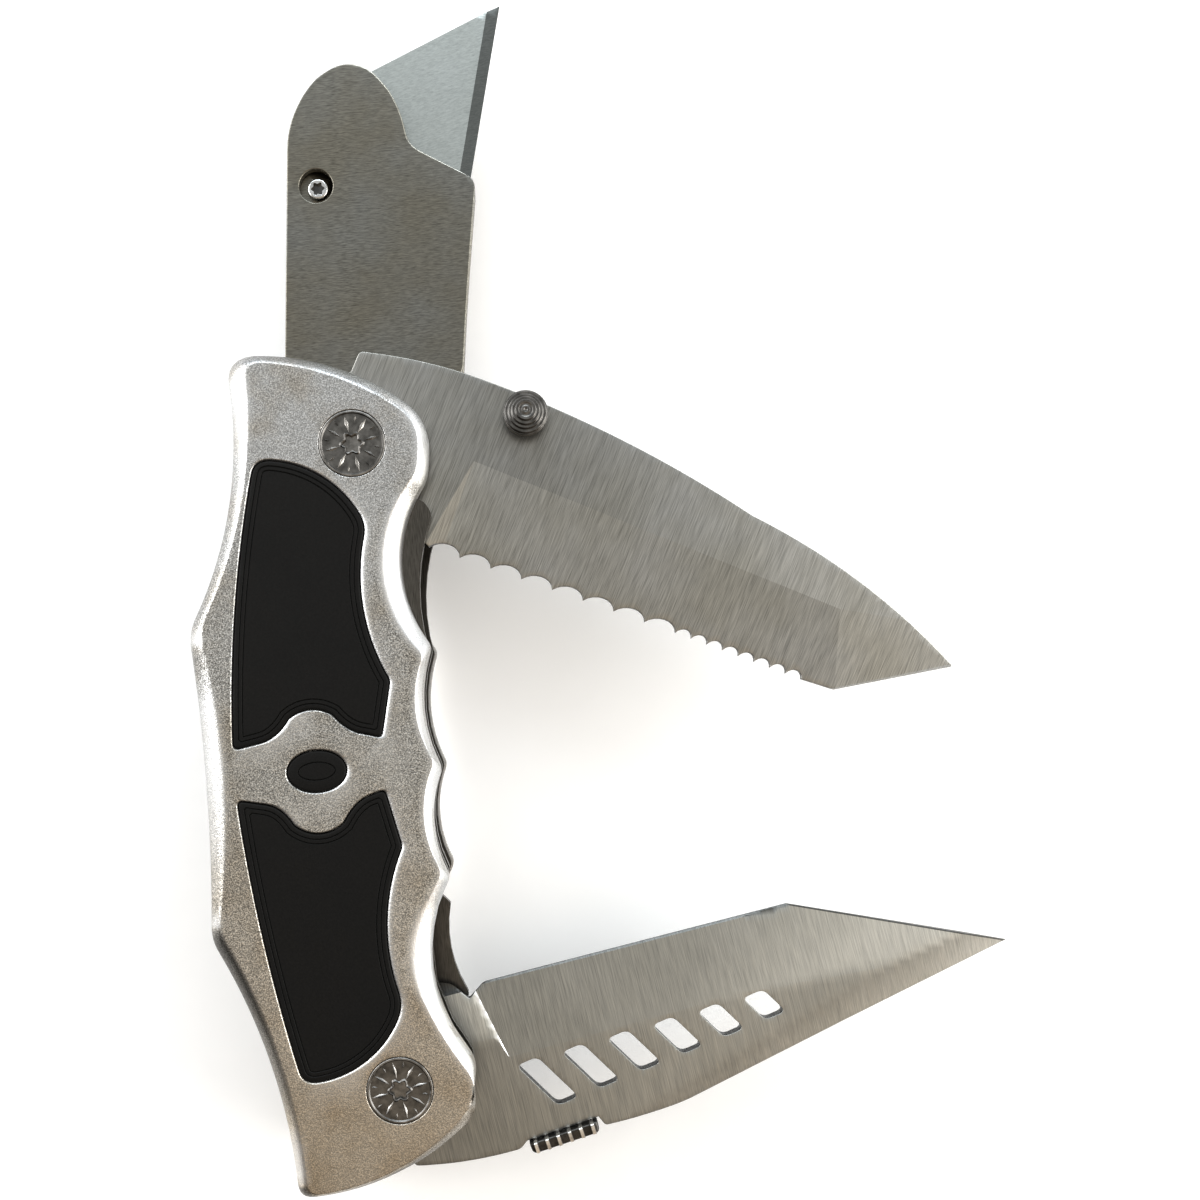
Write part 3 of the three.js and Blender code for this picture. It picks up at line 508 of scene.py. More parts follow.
class Shader(Nodes):
    """A node material with a Principled shader, and the patterns that feed it."""

    def __init__(self, name, metallic, roughness, specular=0.5):
        self.material = bpy.data.materials.new(name)
        self.material.use_nodes = True
        super().__init__(self.material.node_tree)
        self.surface = self.tree.nodes["Principled BSDF"]
        self.surface.inputs["Metallic"].default_value = metallic
        self.surface.inputs["Roughness"].default_value = roughness
        self.surface.inputs["Specular IOR Level"].default_value = specular
        self.place = self.add("ShaderNodeTexCoord").outputs["Object"]

    def stretched(self, angle, lengths):
        """Object coordinates turned by an angle about Z, with lengths of one unit along each axis."""
        turn = self.add("ShaderNodeMapping", vector_type="POINT")
        turn.inputs["Rotation"].default_value = (0, 0, -angle)
        self.feed(turn.inputs["Vector"], self.place)
        scale = self.add("ShaderNodeMapping", vector_type="POINT")
        scale.inputs["Scale"].default_value = tuple(1 / (length * MM) for length in lengths)
        self.feed(scale.inputs["Vector"], turn.outputs["Vector"])
        return scale.outputs["Vector"]

    def noise(self, size, detail=2.0, roughness=0.5, angle=0.0):
        """Noise with features of a size in millimetres, the same each way or one for each axis."""
        sizes = size if isinstance(size, tuple) else (size,) * 3
        node = self.add("ShaderNodeTexNoise")
        node.inputs["Scale"].default_value = 1.0
        node.inputs["Detail"].default_value = detail
        node.inputs["Roughness"].default_value = roughness
        self.feed(node.inputs["Vector"], self.stretched(angle, sizes))
        return node.outputs["Fac"]

    def bump(self, height, distance, strength, under=None):
        """A bump node for a height from 0 to 1 that spans a distance in millimetres."""
        node = self.add("ShaderNodeBump")
        node.inputs["Distance"].default_value = distance * MM
        node.inputs["Strength"].default_value = strength
        self.feed(node.inputs["Height"], height)
        if under is not None:
            self.feed(node.inputs["Normal"], under)
        return node.outputs["Normal"]

    def shaded(self, colour):
        """A colour made brighter or darker by the mesh's shade attribute."""
        shade = self.add("ShaderNodeAttribute", attribute_name="shade")
        share = self.add("ShaderNodeMath", operation="ADD")
        share.inputs[1].default_value = 1.0
        self.feed(share.inputs[0], shade.outputs["Fac"])
        scaled = self.add("ShaderNodeVectorMath", operation="SCALE")
        self.feed(scaled.inputs[0], colour)
        self.feed(scaled.inputs["Scale"], share.outputs["Value"])
        return scaled.outputs["Vector"]

    def finish(self, colour, roughness=None, normal=None):
        self.feed(self.surface.inputs["Base Color"], colour)
        if roughness is not None:
            self.feed(self.surface.inputs["Roughness"], roughness)
        if normal is not None:
            self.feed(self.surface.inputs["Normal"], normal)
        return self.material


def cast_aluminium():
    """Bead-blasted casting: a granular skin, a painted warm reflection at its lower end, painted edge
    highlights and shade.
    """
    shader = Shader("cast_aluminium", 1.0, 0.4)
    grain = shader.noise(0.17, detail=1.5, roughness=0.55)
    pits = shader.noise(0.4, detail=2, roughness=0.6)
    blotch = shader.noise(8.0, detail=4, roughness=0.6)
    speckle = shader.ramp(
        grain,
        (0.34, (0.1, 0.098, 0.094)),
        (0.46, (0.33, 0.33, 0.325)),
        (0.56, (0.55, 0.55, 0.545)),
        (0.68, (1.0, 1.0, 1.0)),
    )
    tarnish = shader.ramp(blotch, (0.32, (0.84, 0.79, 0.72)), (0.55, (1.0, 1.0, 1.0)))
    height = shader.add("ShaderNodeSeparateXYZ")
    shader.feed(height.inputs[0], shader.place)
    from_lower_end = shader.remap(height.outputs["Y"], 0.0, 1.0, -0.055, 0.055)
    smoothed = shader.ramp(from_lower_end, (0.05, 0.5), (0.3, 0.1), (0.65, 0.0), (0.9, 0.3))
    skin = shader.blend("MIX", smoothed, speckle, (0.46, 0.46, 0.455))
    skin = shader.blend("MULTIPLY", 1.0, skin, tarnish)
    # painted warm reflection: brighter and warmer towards the lower end, a little darker in the middle
    broad_tint = shader.ramp(
        from_lower_end, (0.05, (1.14, 1.04, 0.9)), (0.5, (0.9, 0.895, 0.87)), (0.9, (1.0, 1.0, 1.0)),
    )
    skin = shader.blend("MULTIPLY", 1.0, skin, broad_tint)
    # painted edge highlights and painted shade: below 0 darkens, above 0 mixes towards a bright smooth
    # colour
    painted_light = shader.add("ShaderNodeAttribute", attribute_name="shade").outputs["Fac"]
    skin = shader.blend("MULTIPLY", 1.0, skin, shader.remap(painted_light, 0.1, 1.0, -1.0, 0.0))
    colour = shader.blend("MIX", painted_light, skin, (0.9, 0.91, 0.92))
    normal = shader.bump(pits, 0.05, 0.6)
    normal = shader.bump(grain, 0.04, 0.6, normal)
    return shader.finish(colour, shader.remap(grain, 0.48, 0.3), normal)


def grip_rubber():
    """Moulded black rubber with a satin skin and a little dust in its pores."""
    shader = Shader("grip_rubber", 0.0, 0.6, specular=0.12)
    pores = shader.noise(0.22, detail=3, roughness=0.6)
    broad_tint = shader.noise(7.0, detail=2)
    skin = shader.ramp(pores, (0.3, (0.0028, 0.0027, 0.0025)), (0.75, (0.0064, 0.006, 0.0055)))
    colour = shader.blend("MULTIPLY", 1.0, skin, shader.ramp(broad_tint, (0.3, 0.75), (0.7, 1.0)))
    return shader.finish(colour, shader.remap(broad_tint, 0.66, 0.5), shader.bump(pores, 0.014, 0.6))


def brushed(
    name, dark, light, angle, line=0.08, length=2.4, roughness=(0.3, 0.42), stain=(0.92, 0.92, 0.91),
):
    """Steel with ground or brushed lines that run at an angle in plan, between two colours."""
    shader = Shader(name, 1.0, roughness[0])
    fine = shader.noise((length, line, line * 4), detail=2, roughness=0.6, angle=angle)
    broad = shader.noise((length * 1.7, line * 2, line * 8), detail=2, angle=angle)
    cloud = shader.noise(12.0, detail=3)
    both = shader.blend("MIX", 0.35, fine, broad)
    colour = shader.ramp(both, (0.34, dark), (0.66, light))
    tone = shader.ramp(cloud, (0.35, stain), (0.65, (1.0, 1.0, 1.0)))
    colour = shader.blend("MULTIPLY", 1.0, colour, tone)
    normal = shader.bump(fine, 0.004, 0.8)
    return shader.finish(shader.shaded(colour), shader.remap(fine, roughness[1], roughness[0]), normal)


def machined(name, dark, light, roughness=(0.25, 0.4)):
    """Small turned or pressed steel parts: fine scratches all ways and slight tarnish."""
    shader = Shader(name, 1.0, roughness[0])
    scratches = shader.noise((0.6, 0.05, 0.3), detail=3, roughness=0.7, angle=0.6)
    tarnish = shader.noise(1.3, detail=3, roughness=0.6)
    colour = shader.ramp(tarnish, (0.35, dark), (0.65, light))
    normal = shader.bump(scratches, 0.004, 0.7)
    return shader.finish(shader.shaded(colour), shader.remap(scratches, roughness[1], roughness[0]), normal)


SERRATED_GRAIN = math.radians(64)
SLOTTED_GRAIN = math.radians(-80)
UTILITY_GRAIN = math.radians(10)
MATERIALS = {
    "cast_aluminium": cast_aluminium(),
    "grip_rubber": grip_rubber(),
    "serrated_steel": brushed(
        "serrated_steel", (0.19, 0.19, 0.181), (0.47, 0.467, 0.45), SERRATED_GRAIN, length=3,
        stain=(0.91, 0.895, 0.85),
    ),
    "slotted_steel": brushed(
        "slotted_steel", (0.3, 0.305, 0.295), (0.58, 0.589, 0.567), SLOTTED_GRAIN, length=4,
    ),
    "holder_steel": brushed(
        "holder_steel", (0.095, 0.093, 0.084), (0.255, 0.251, 0.227), 0.0, line=0.11, length=0.9,
        stain=(0.93, 0.88, 0.79),
    ),
    "razor_steel": brushed(
        "razor_steel", (0.26, 0.278, 0.27), (0.44, 0.466, 0.45), UTILITY_GRAIN, line=0.12, length=0.5,
        roughness=(0.35, 0.5),
    ),
    "liner_steel": brushed(
        "liner_steel", (0.06, 0.056, 0.05), (0.135, 0.126, 0.113), math.radians(90), length=1.5,
    ),
    "fastener_steel": machined("fastener_steel", (0.1, 0.096, 0.09), (0.22, 0.212, 0.2)),
    "stud_steel": machined("stud_steel", (0.075, 0.072, 0.068), (0.165, 0.159, 0.15)),
    "worn_edge": machined("worn_edge", (0.35, 0.345, 0.335), (0.62, 0.615, 0.6)),
    "bright_steel": machined("bright_steel", (0.5, 0.5, 0.49), (0.75, 0.75, 0.74), (0.15, 0.3)),
    "bronze": machined("bronze", (0.32, 0.19, 0.08), (0.5, 0.31, 0.14), (0.3, 0.45)),
}


def dress(piece, material, body=None, node=None):
    """Gives a piece its material and slot, and lets it ride on a body and stand for a CAD node."""
    piece.data.materials.clear()
    piece.data.materials.append(MATERIALS[material])
    if body:
        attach(piece, body)
    if node:
        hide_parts(node)
    return piece


# ---- the handle's outlines, clockwise from the top of the back edge ----
HANDLE_STEPS = 26
CHORD_ALLOWANCE = 0.03  # the CAD's coarser arcs cut corners by this much
RIM = outline([
    (-16.9, 57.2, 3.2, 4),
    (10, 47, 0.5, 3),
    (9.4, 38.3, -3.7, 1.2),
    (8.6, 15.9, -1.8, 0.9),
    (8.8, -1, -1.7, 0.9),
    (8.8, -15.9, -0.4, 0.9),
    (3.8, -28.4, -0.4, 9),
    (10.7, -41.6, -0.4, 2.2),
    (10.1, -48.3, 2.7, 2),
    (-15.1, -58, -2.2, 1.8),
    (-24.5, -22.1, -0.9, 2),
    (-24.5, 20.2, -3.3, 2.4),
], HANDLE_STEPS)
RIM = offset(RIM, CHORD_ALLOWANCE)
FACE = outline([
    (-13.6, 55.7, 2.1, 2.3),
    (9.1, 45.8, 0.1, 3),
    (8.3, 39.1, -5.2, 1.5),
    (7.5, 14.5, -1.8, 0.9),
    (7.9, 0.2, -1.9, 0.9),
    (7.8, -14.7, 0.4, 0.9),
    (1.4, -23.2, -1.2, 7),
    (10.2, -43.2, 0.8, 1.8),
    (7.7, -48.1, 2.2, 1.6),
    (-13.3, -56.9, -2.3, 1.6),
    (-22.6, -20.2, -2, 2),
    (-22.3, 20.1, -2.8, 2.4),
], HANDLE_STEPS)
OVAL_CENTRE = middle_of("front_oval_insert")
OVAL_HALF_AXES = np.array([4.1, 2.9])
INSERTS = {
    "upper": outline([
        (-13.4, 42.5, 2.8, 1.9),
        (1.1, 32.5, -2.1, 1.5),
        (2.8, 11.5, 0, 0.6),
        (1.1, 3.8, -0.15, 0.8),
        (-3.5, 4.9, -3.5, 2.4),
        (-13, 4.7, 0, 2.4),
        (-19.1, 3.6, 1.1, 1),
    ]),
    "lower": outline([
        (-19.1, -3.1, 0, 1),
        (-13, -4.4, -3.9, 2.2),
        (-3.4, -4.5, 0.1, 2.2),
        (1, -3.1, 0, 0.8),
        (2.8, -11, -2.1, 0.6),
        (1.3, -32.1, 3, 1.8),
        (-13, -41.9, 0.8, 1.7),
    ]),
    "oval": circle(OVAL_CENTRE, OVAL_HALF_AXES, 72),
}

# ---- scales ----
SIDE_WALL = 1.6  # the upright part of a scale's edge, below its chamfer
CHAMFER_STEPS = 14
CHAMFER_CROWN = 1.45  # 1 is a flat chamfer and 2 a quarter ellipse
POCKET_DEPTH = 2.0
POCKET_ROUND = 0.22
LIP_WIDTH = 0.95  # the soft lip of an insert's pocket on the finger side
LIP_DROP = 0.3
LIP_STEPS = 5
EDGE_PAINTED_LIGHT = (  # the bearing that an edge faces in degrees, and its painted highlight or, below 0, its painted shade
    (-180, 0.5), (-175, 0.4), (-170, -0.55), (-160, -0.88), (-110, -0.94), (-75, -0.95), (-62, -0.9),
    (-48, -0.4), (-35, 0.5), (0, 0.9), (42, 0.7), (62, -0.3), (75, -0.5), (120, -0.4), (168, -0.15),
    (174, 0.2), (180, 0.5),
)
CREST_RING = 0.35  # a ring this far inside the face keeps its edge even
PAINTED_LIGHT_START = 0.9  # the painted highlight begins this far inside the face
POCKET_MARGIN = 0.4  # no wear ring comes nearer to a pocket than this
PAINTED_LIGHT_RUN = 1.5
PAINTED_SHADE_RUN = 0.7  # the painted shade starts at the face's edge and is full this far outside it
LIP_PAINTED_HIGHLIGHT = 0.55
LIP_FADE = 1.2  # the painted highlight at a pocket's edge, before it fades across the lip and is held at 1
WALL_GLOSS = 0.3
LIP_HIGHLIGHT_WAY = unit(np.array([1.0, -0.35]))  # the way out of an insert to the lip with the strongest painted highlight
POCKET_DRAFT = 0.05
HEAD_RADIUS = 4.5
HEAD_DEPTH = 1.5
PIVOT_HOLE_RADIUS = 3.1
HEAD_GAP = 0.06
COUNTERBORE_ROUND = 0.12


def lip(loop):
    """Rings round an insert's pocket: a tight round, but a broad soft one on the finger side."""
    towards_fingers = np.clip(-unit(inward_steps(loop))[:, 0], 0, 1) ** 2
    width = POCKET_ROUND + (LIP_WIDTH - POCKET_ROUND) * towards_fingers
    rings = []
    for angle in np.linspace(0, math.pi / 2, LIP_STEPS + 1):
        rings.append((offset(loop, -width * (1 - math.cos(angle))), LIP_DROP * (1 - math.sin(angle))))
    return rings


def painted_edge_light(points):
    """The painted highlights (above 0) and painted shade (below 0) on a scale's skin: by its chamfer's
    bearing, and on its pockets' lips.
    """
    outwards = points - nearest_on(points, FACE)
    distance = np.linalg.norm(outwards, axis=1)
    within = inside(points, FACE)
    outwards[within] *= -1
    bearing = np.degrees(np.arctan2(outwards[:, 1], outwards[:, 0]))
    edge_light = np.interp(bearing, *zip(*EDGE_PAINTED_LIGHT))
    distance = np.where(within, -distance, distance)
    share = np.where(edge_light > 0, (distance + PAINTED_LIGHT_START) / PAINTED_LIGHT_RUN, distance / PAINTED_SHADE_RUN)
    share = np.clip(share, 0, 1)
    painted_light = edge_light * share**2 * (3 - 2 * share)
    for loop in INSERTS.values():
        outwards = points - nearest_on(points, loop)
        distance = np.maximum(np.linalg.norm(outwards, axis=1), 1e-6)
        facing = np.clip(outwards @ LIP_HIGHLIGHT_WAY / distance, 0, 1)
        painted_light += LIP_PAINTED_HIGHLIGHT * facing * np.clip(LIP_FADE - distance / LIP_WIDTH, 0, 1)
    return painted_light


def scale(side):
    """One cast scale: chamfered all round, with pockets for its inserts and screw heads."""
    span = heights(f"{side}_scale")
    thickness = span[1] - span[0]
    chamfer = thickness - SIDE_WALL
    outer = []
    for t in np.cos(np.linspace(math.pi / 2, 0, CHAMFER_STEPS + 1)):
        rise = (1 - (1 - t) ** CHAMFER_CROWN) ** (1 / CHAMFER_CROWN)
        outer.append((RIM + (FACE - RIM) * t, chamfer * (1 - rise)))
    lines = []

    def pocket(rings, depth):
        wall_foot = offset(rings[0][0], POCKET_DRAFT)
        lines.extend((ring, drop, True, False) for ring, drop in [*rings, (wall_foot, depth)])

    for loop in INSERTS.values():
        pocket(lip(loop), POCKET_DEPTH)
    lines.append((offset(FACE, CREST_RING), 0.0, True, False))
    # points inside the face that carry the painted edge highlights and shade
    painted_light_from = offset(FACE, PAINTED_LIGHT_START)
    for loop in INSERTS.values():
        painted_light_from = painted_light_from[~inside(painted_light_from, loop) & (gap_to(painted_light_from, loop) > POCKET_MARGIN)]
    lines += scattered(painted_light_from)
    holes = []
    for centre in PIVOTS.values():
        counterbore = circle(centre, HEAD_RADIUS + HEAD_GAP)
        pocket(rounded(counterbore, COUNTERBORE_ROUND, -1), HEAD_DEPTH + HEAD_GAP)
        holes.append([(circle(centre, PIVOT_HOLE_RADIUS), HEAD_DEPTH + HEAD_GAP)])

    piece = plan_solid(
        f"{side}_scale_casting", outer, holes, span, lines, flat_below=True, flip=side == "rear",
        shade=painted_edge_light, wall_shade=WALL_GLOSS,
    )
    return dress(piece, "cast_aluminium", body="handle", node=f"{side}_scale")


# ---- rubber inserts ----
INSERT_GAP = 0.1
INSERT_ROUND = 0.3
GROOVE_INSETS = {"upper": (0.75, 1.35), "lower": (0.75, 1.35), "oval": ()}
GROOVE_HALF_WIDTH = 0.12
GROOVE_DEPTH = 0.14
LENS_HALF_AXES = np.array([2.5, 1.2])


def groove_lines(loop):
    """A fine V-shaped groove that follows a loop, as three lines."""
    return [
        (offset(loop, -GROOVE_HALF_WIDTH), 0.0, True, False),
        (loop, GROOVE_DEPTH, True, False),
        (offset(loop, GROOVE_HALF_WIDTH), 0.0, True, False),
    ]


def insert(side, place):
    """One rubber insert, with fine grooves that follow its edge."""
    node = f"{side}_{place}_insert"
    loop = offset(INSERTS[place], INSERT_GAP)
    lines = []
    for inset in GROOVE_INSETS[place]:
        lines += groove_lines(offset(loop, inset))
    if place == "oval":
        lines += groove_lines(circle(OVAL_CENTRE, LENS_HALF_AXES, 48))
    piece = plan_solid(
        f"{node}_moulding", rounded(loop, INSERT_ROUND), [], heights(node), lines,
        flat_below=True, flip=side == "rear",
    )
    return dress(piece, "grip_rubber", body="handle", node=node)


# ---- pivot screws ----
HEAD_ROUND = 0.16
HEAD_SHANK_RADIUS = 1.5
SHANK_CHAMFER = 0.2
SHANK_OVERLAP = 0.05  # how far a shank runs up into its head
SCREW_RIM = 0.3  # a plain raised rim round the head's sunk relief
RELIEF_DEPTH = 0.16
RAY_COUNT = 8
FIRST_RAY = 0.25  # of the angle between two rays
RAY = {"inner": 1.6, "outer": 3.9, "half_width": 0.24}
DASH = {"inner": 3.0, "outer": 3.9, "half_width": 0.14}
RECESS_RADIUS = 1.15
RECESS_LOBES = 6
LOBE_SWELL = 0.16
RECESS_DEPTH = 0.5
RECESS_LIP = 0.06  # how far the recess's edge is eased
RECESS_DRAFT = 0.08
BOSS_TOP = 0.15  # the width of the raised ring round the recess
BOSS_FOOT = 0.35
CREST_DROP = 0.02  # a ray's crest lies this far below the head's rim
RIM_SHADE = 0.4
FIELD_SHADE = -0.2
RAY_SHADE = 1.4
RECESS_SHADE = 0.3


def recess_loop(centre, radius, count=60):
    """A six-lobed recess's outline."""
    turn = np.arange(count) * 2 * math.pi / count
    reach = radius * (1 + LOBE_SWELL * np.cos(RECESS_LOBES * turn))
    return circle(centre, reach[:, None], count)


def ray(centre, angle, inner, outer, half_width):
    """A narrow raised ray on a screw's head: a long lozenge with a ridge along its middle."""
    along = np.array([math.cos(angle), math.sin(angle)])
    across = np.array([-along[1], along[0]])
    middle = (inner + outer) / 2
    rim = np.array([
        centre + along * inner,
        centre + along * middle - across * half_width,
        centre + along * outer,
        centre + along * middle + across * half_width,
    ])
    share = (outer - inner) / 6
    ridge = np.array([centre + along * (inner + share), centre + along * (outer - share)])
    return [(rim, RELIEF_DEPTH, True, True), (ridge, CREST_DROP, False, True)]


def shank(screw, centre, radius, span, chamfer, count):
    """A screw's plain shank between two levels."""
    low, high = span
    profile = [(0, low), (radius, low), (radius, high), (0, high)]
    return turned(f"{screw}_shank", softened(profile, chamfer), centre, count)


def pivot_screw(place, side):
    """A pivot screw with a plain ring of raised rays on its head and a shank in the barrel."""
    node = f"{place}_{side}_pivot_screw"
    centre = PIVOTS[place]
    low, high = heights(node)
    if side == "front":
        span = (high - HEAD_DEPTH, high)
        shank_span = (low, span[0] + SHANK_OVERLAP)
    else:
        span = (low, low + HEAD_DEPTH)
        shank_span = (span[1] - SHANK_OVERLAP, high)
    outer = rounded(circle(centre, HEAD_RADIUS, 96), HEAD_ROUND)
    inner = HEAD_RADIUS - SCREW_RIM
    outer.append((circle(centre, inner, 96), 0.0))
    outer.append((circle(centre, inner - RELIEF_DEPTH, 96), RELIEF_DEPTH))
    lines = []
    for index in range(RAY_COUNT):
        angle = (index + FIRST_RAY) * 2 * math.pi / RAY_COUNT
        lines += ray(centre, angle, **RAY)
        lines += ray(centre, angle + math.pi / RAY_COUNT, **DASH)
    ray_loops = [points for points, _, closed, _ in lines if closed]
    boss = ((BOSS_FOOT, RELIEF_DEPTH), (BOSS_TOP, 0.0))
    recess = ((0, RECESS_LIP), (-RECESS_DRAFT, RECESS_DEPTH))
    for swell, drop in boss + recess:
        lines.append((recess_loop(centre, RECESS_RADIUS + swell), drop, True, False))

    def shade(points):
        reach = np.linalg.norm(points - centre, axis=1)
        field = np.where(reach < inner, FIELD_SHADE, RIM_SHADE)
        for loop in ray_loops:
            field = np.where(inside(points, loop), RAY_SHADE, field)
        return np.where(inside(points, recess_loop(centre, RECESS_RADIUS)), RECESS_SHADE, field)

    head = plan_solid(
        f"{node}_head", outer, [], span, lines, flat_below=True, flip=side == "rear", shade=shade,
    )
    dress(head, "fastener_steel", body="handle", node=node)
    core = shank(node, centre, HEAD_SHANK_RADIUS, shank_span, SHANK_CHAMFER, 48)
    dress(core, "fastener_steel", body="handle")


# ---- serrated blade ----
EDGE_ROUND = 0.12
GROUND_DEPTH = 0.62
BLUNT_DEPTH = 0.87
TANG_RADIUS = 11.3
STUD_HOLE_RADIUS = 1.3
STUD_HOLE_ROUND = 0.05
# painted shade, nearly black, on the blades' upright walls
PAINTED_WALL_SHADE = -0.96
SOFT_MEETING = 0.05  # how deep the blend is where two ground facets run into each other
PLUNGE_FADE = 0.8  # the painted highlight beside a plunge fades out where the plunge's plane is this much deeper
STEEP_PULL = (0.12, 1.4)  # a scallop's control points: parts of its pitch and of its depth
EASY_PULL = (0.72, 1.27)
TANTO_BEVEL_SLOPE = 1.8
SERRATED_GRID = 0.9  # the spacing of the points that carry the painted tones
SERRATED_FLAT_PAINTED_TONES = ((8, 22, 34, 62), (0.02, -0.2, -0.07, 0.28))  # x and the painted tone on the flat there: painted shade below 0, painted highlight above
# painted light and shade on each ground facet, and a painted highlight beside the plunge
SERRATED_PAINTED_TONES = {"ground": 0.03, "plunge": 0.15, "glow": 0.2, "tip": 0.25, "bevel": -0.1}


def tang_arc(centre, first, last, steps=60):
    """Corners round a tang, from one angle to another in degrees, turning clockwise."""
    turn = np.radians(np.linspace(first, last, steps + 1))
    return [(centre[0] + TANG_RADIUS * math.cos(a), centre[1] + TANG_RADIUS * math.sin(a)) for a in turn]


def scallops(start, end, count, depth, steps=8):
    """Leaning scallops between two cusps of an edge, each steeper towards the start."""
    start, end = np.array(start, float), np.array(end, float)
    pitch = (end - start) / count
    inwards = np.array([pitch[1], -pitch[0]]) / np.linalg.norm(pitch)
    corners = []
    for index in range(count):
        cusp = start + pitch * index
        steep, easy = (
            cusp + pitch * along + inwards * depth * reach for along, reach in (STEEP_PULL, EASY_PULL)
        )
        for t in np.linspace(0, 1, steps, endpoint=False):
            point = (1 - t) ** 3 * cusp + 3 * (1 - t) ** 2 * t * steep
            corners.append(tuple(point + 3 * (1 - t) * t**2 * easy + t**3 * (cusp + pitch)))
    return corners


def soft_max(one, other, width):
    """The larger of two depths, with a round meeting instead of a crease."""
    return (one + other + np.sqrt((one - other) ** 2 + width**2)) / 2


def serrated_blade():
    """The upper blade: a tanto tip, one row of fine and one of coarse scallops, and a plunge."""
    heel, coarse_end, fine_end = (9, 30), (42.6, 15.4), (59.7, 7.6)
    corner, tip = (64.2, 5.8), (81, 7.8)
    loop = outline([
        (0, 55.2),
        (1.4, 57.9, 0.4, 0.6),
        (16, 53.7, 1.4),
        (54.5, 30.9, 1.6),
        tip,
        corner,
        *scallops(fine_end, coarse_end, 8, 0.95),
        *scallops(coarse_end, heel, 8, 1.25),
        heel,
        (5.6, 33),
        *tang_arc(UPPER_PIVOT, -70, -268),
    ])
    grind_start, grind_end = (16.2, 41.4), (68.5, 15.6)
    plunge_foot = (9.4, 31.6)
    main = facet(grind_start, grind_end, heel, GROUND_DEPTH)
    plunge = facet(plunge_foot, grind_start, (11.5, 30.3), GROUND_DEPTH)
    tip_ground = facet((66, 16.9), (74.5, 14.8), corner, depth_on(main, np.array(corner)))
    bevel = edge_facet(corner, tip, (70, 12), BLUNT_DEPTH, TANTO_BEVEL_SLOPE)
    painted_tones = SERRATED_PAINTED_TONES

    def depth(points):
        hollow = np.minimum(depth_on(main, points), depth_on(plunge, points))
        return np.maximum.reduce([
            hollow, depth_on(tip_ground, points), depth_on(bevel, points), np.zeros(len(points)),
        ])

    def shade(points):
        plunge_depth = depth_on(plunge, points)
        main_depth = depth_on(main, points)
        hollow = np.minimum(main_depth, plunge_depth)
        from_plunge = np.clip(1 - (plunge_depth - main_depth) / PLUNGE_FADE, 0, 1)
        in_plunge = plunge_depth < main_depth
        ground = painted_tones["ground"] + np.where(in_plunge, painted_tones["plunge"], painted_tones["glow"] * from_plunge)
        along_flat = np.interp(points[:, 0], *SERRATED_FLAT_PAINTED_TONES)
        tone = np.where(hollow > 0, ground, along_flat)
        tone = np.where(depth_on(tip_ground, points) > np.maximum(hollow, 0), painted_tones["tip"], tone)
        return np.where(depth_on(bevel, points) > depth_on(tip_ground, points), painted_tones["bevel"], tone)

    pivot_hole = circle(UPPER_PIVOT, PIVOT_HOLE_RADIUS)
    stud_hole = circle(middle_of("thumb_stud"), STUD_HOLE_RADIUS, 40)
    piece = plan_solid(
        "serrated_blade_steel", rounded(loop, EDGE_ROUND),
        [rounded(pivot_hole, EDGE_ROUND, -1), rounded(stud_hole, STUD_HOLE_ROUND, -1)],
        heights("serrated_blade"), depth=depth, facets=[main, plunge, tip_ground, bevel],
        grid=SERRATED_GRID, shade=shade, wall_shade=PAINTED_WALL_SHADE,
    )
    return dress(piece, "serrated_steel", "serrated_tool", "serrated_blade")


# ---- thumb stud ----
STUD_SHANK = 1.2
STUD_NECK = (2.2, 1.6)  # radius and height
STUD_FLARE = {"width": 0.25, "foot": 0.1, "top": 0.5}  # round the neck, its levels above the blade
STUD_FLANGE = (3.1, 0.8)
STUD_RINGS = (2.9, 2.4, 1.95, 1.45)
STUD_RING_DRAFT = 0.05
STUD_STEP = 0.4
STUD_CROWN = (  # radii on the stud's end and how far below its top they lie
    (1.0, 0), (0.9, 0.08), (0.62, 0.08), (0.5, 0), (0.22, 0), (0, 0.4),
)
STUD_SOFTENING = 0.07


def thumb_stud():
    """The stepped thumb stud, turned in one piece and riveted through the blade."""
    _, blade_top = heights("serrated_blade")
    low, high = heights("thumb_stud")
    neck_top = blade_top + STUD_NECK[1]
    flange_top = neck_top + STUD_FLANGE[1]
    profile = [
        (0, low),
        (STUD_SHANK, low),
        (STUD_SHANK, blade_top + STUD_FLARE["foot"]),
        (STUD_NECK[0] + STUD_FLARE["width"], blade_top + STUD_FLARE["foot"]),
        (STUD_NECK[0], blade_top + STUD_FLARE["top"]),
        (STUD_NECK[0], neck_top),
        (STUD_FLANGE[0], neck_top),
        (STUD_FLANGE[0], flange_top),
    ]
    for index, radius in enumerate(STUD_RINGS):
        profile.append((radius, flange_top + index * STUD_STEP))
        profile.append((radius - STUD_RING_DRAFT, flange_top + (index + 1) * STUD_STEP))
    profile += [(radius, high - drop) for radius, drop in STUD_CROWN]
    piece = turned("thumb_stud_steel", softened(profile, STUD_SOFTENING), middle_of("thumb_stud"))
    return dress(piece, "stud_steel", "serrated_tool", "thumb_stud")


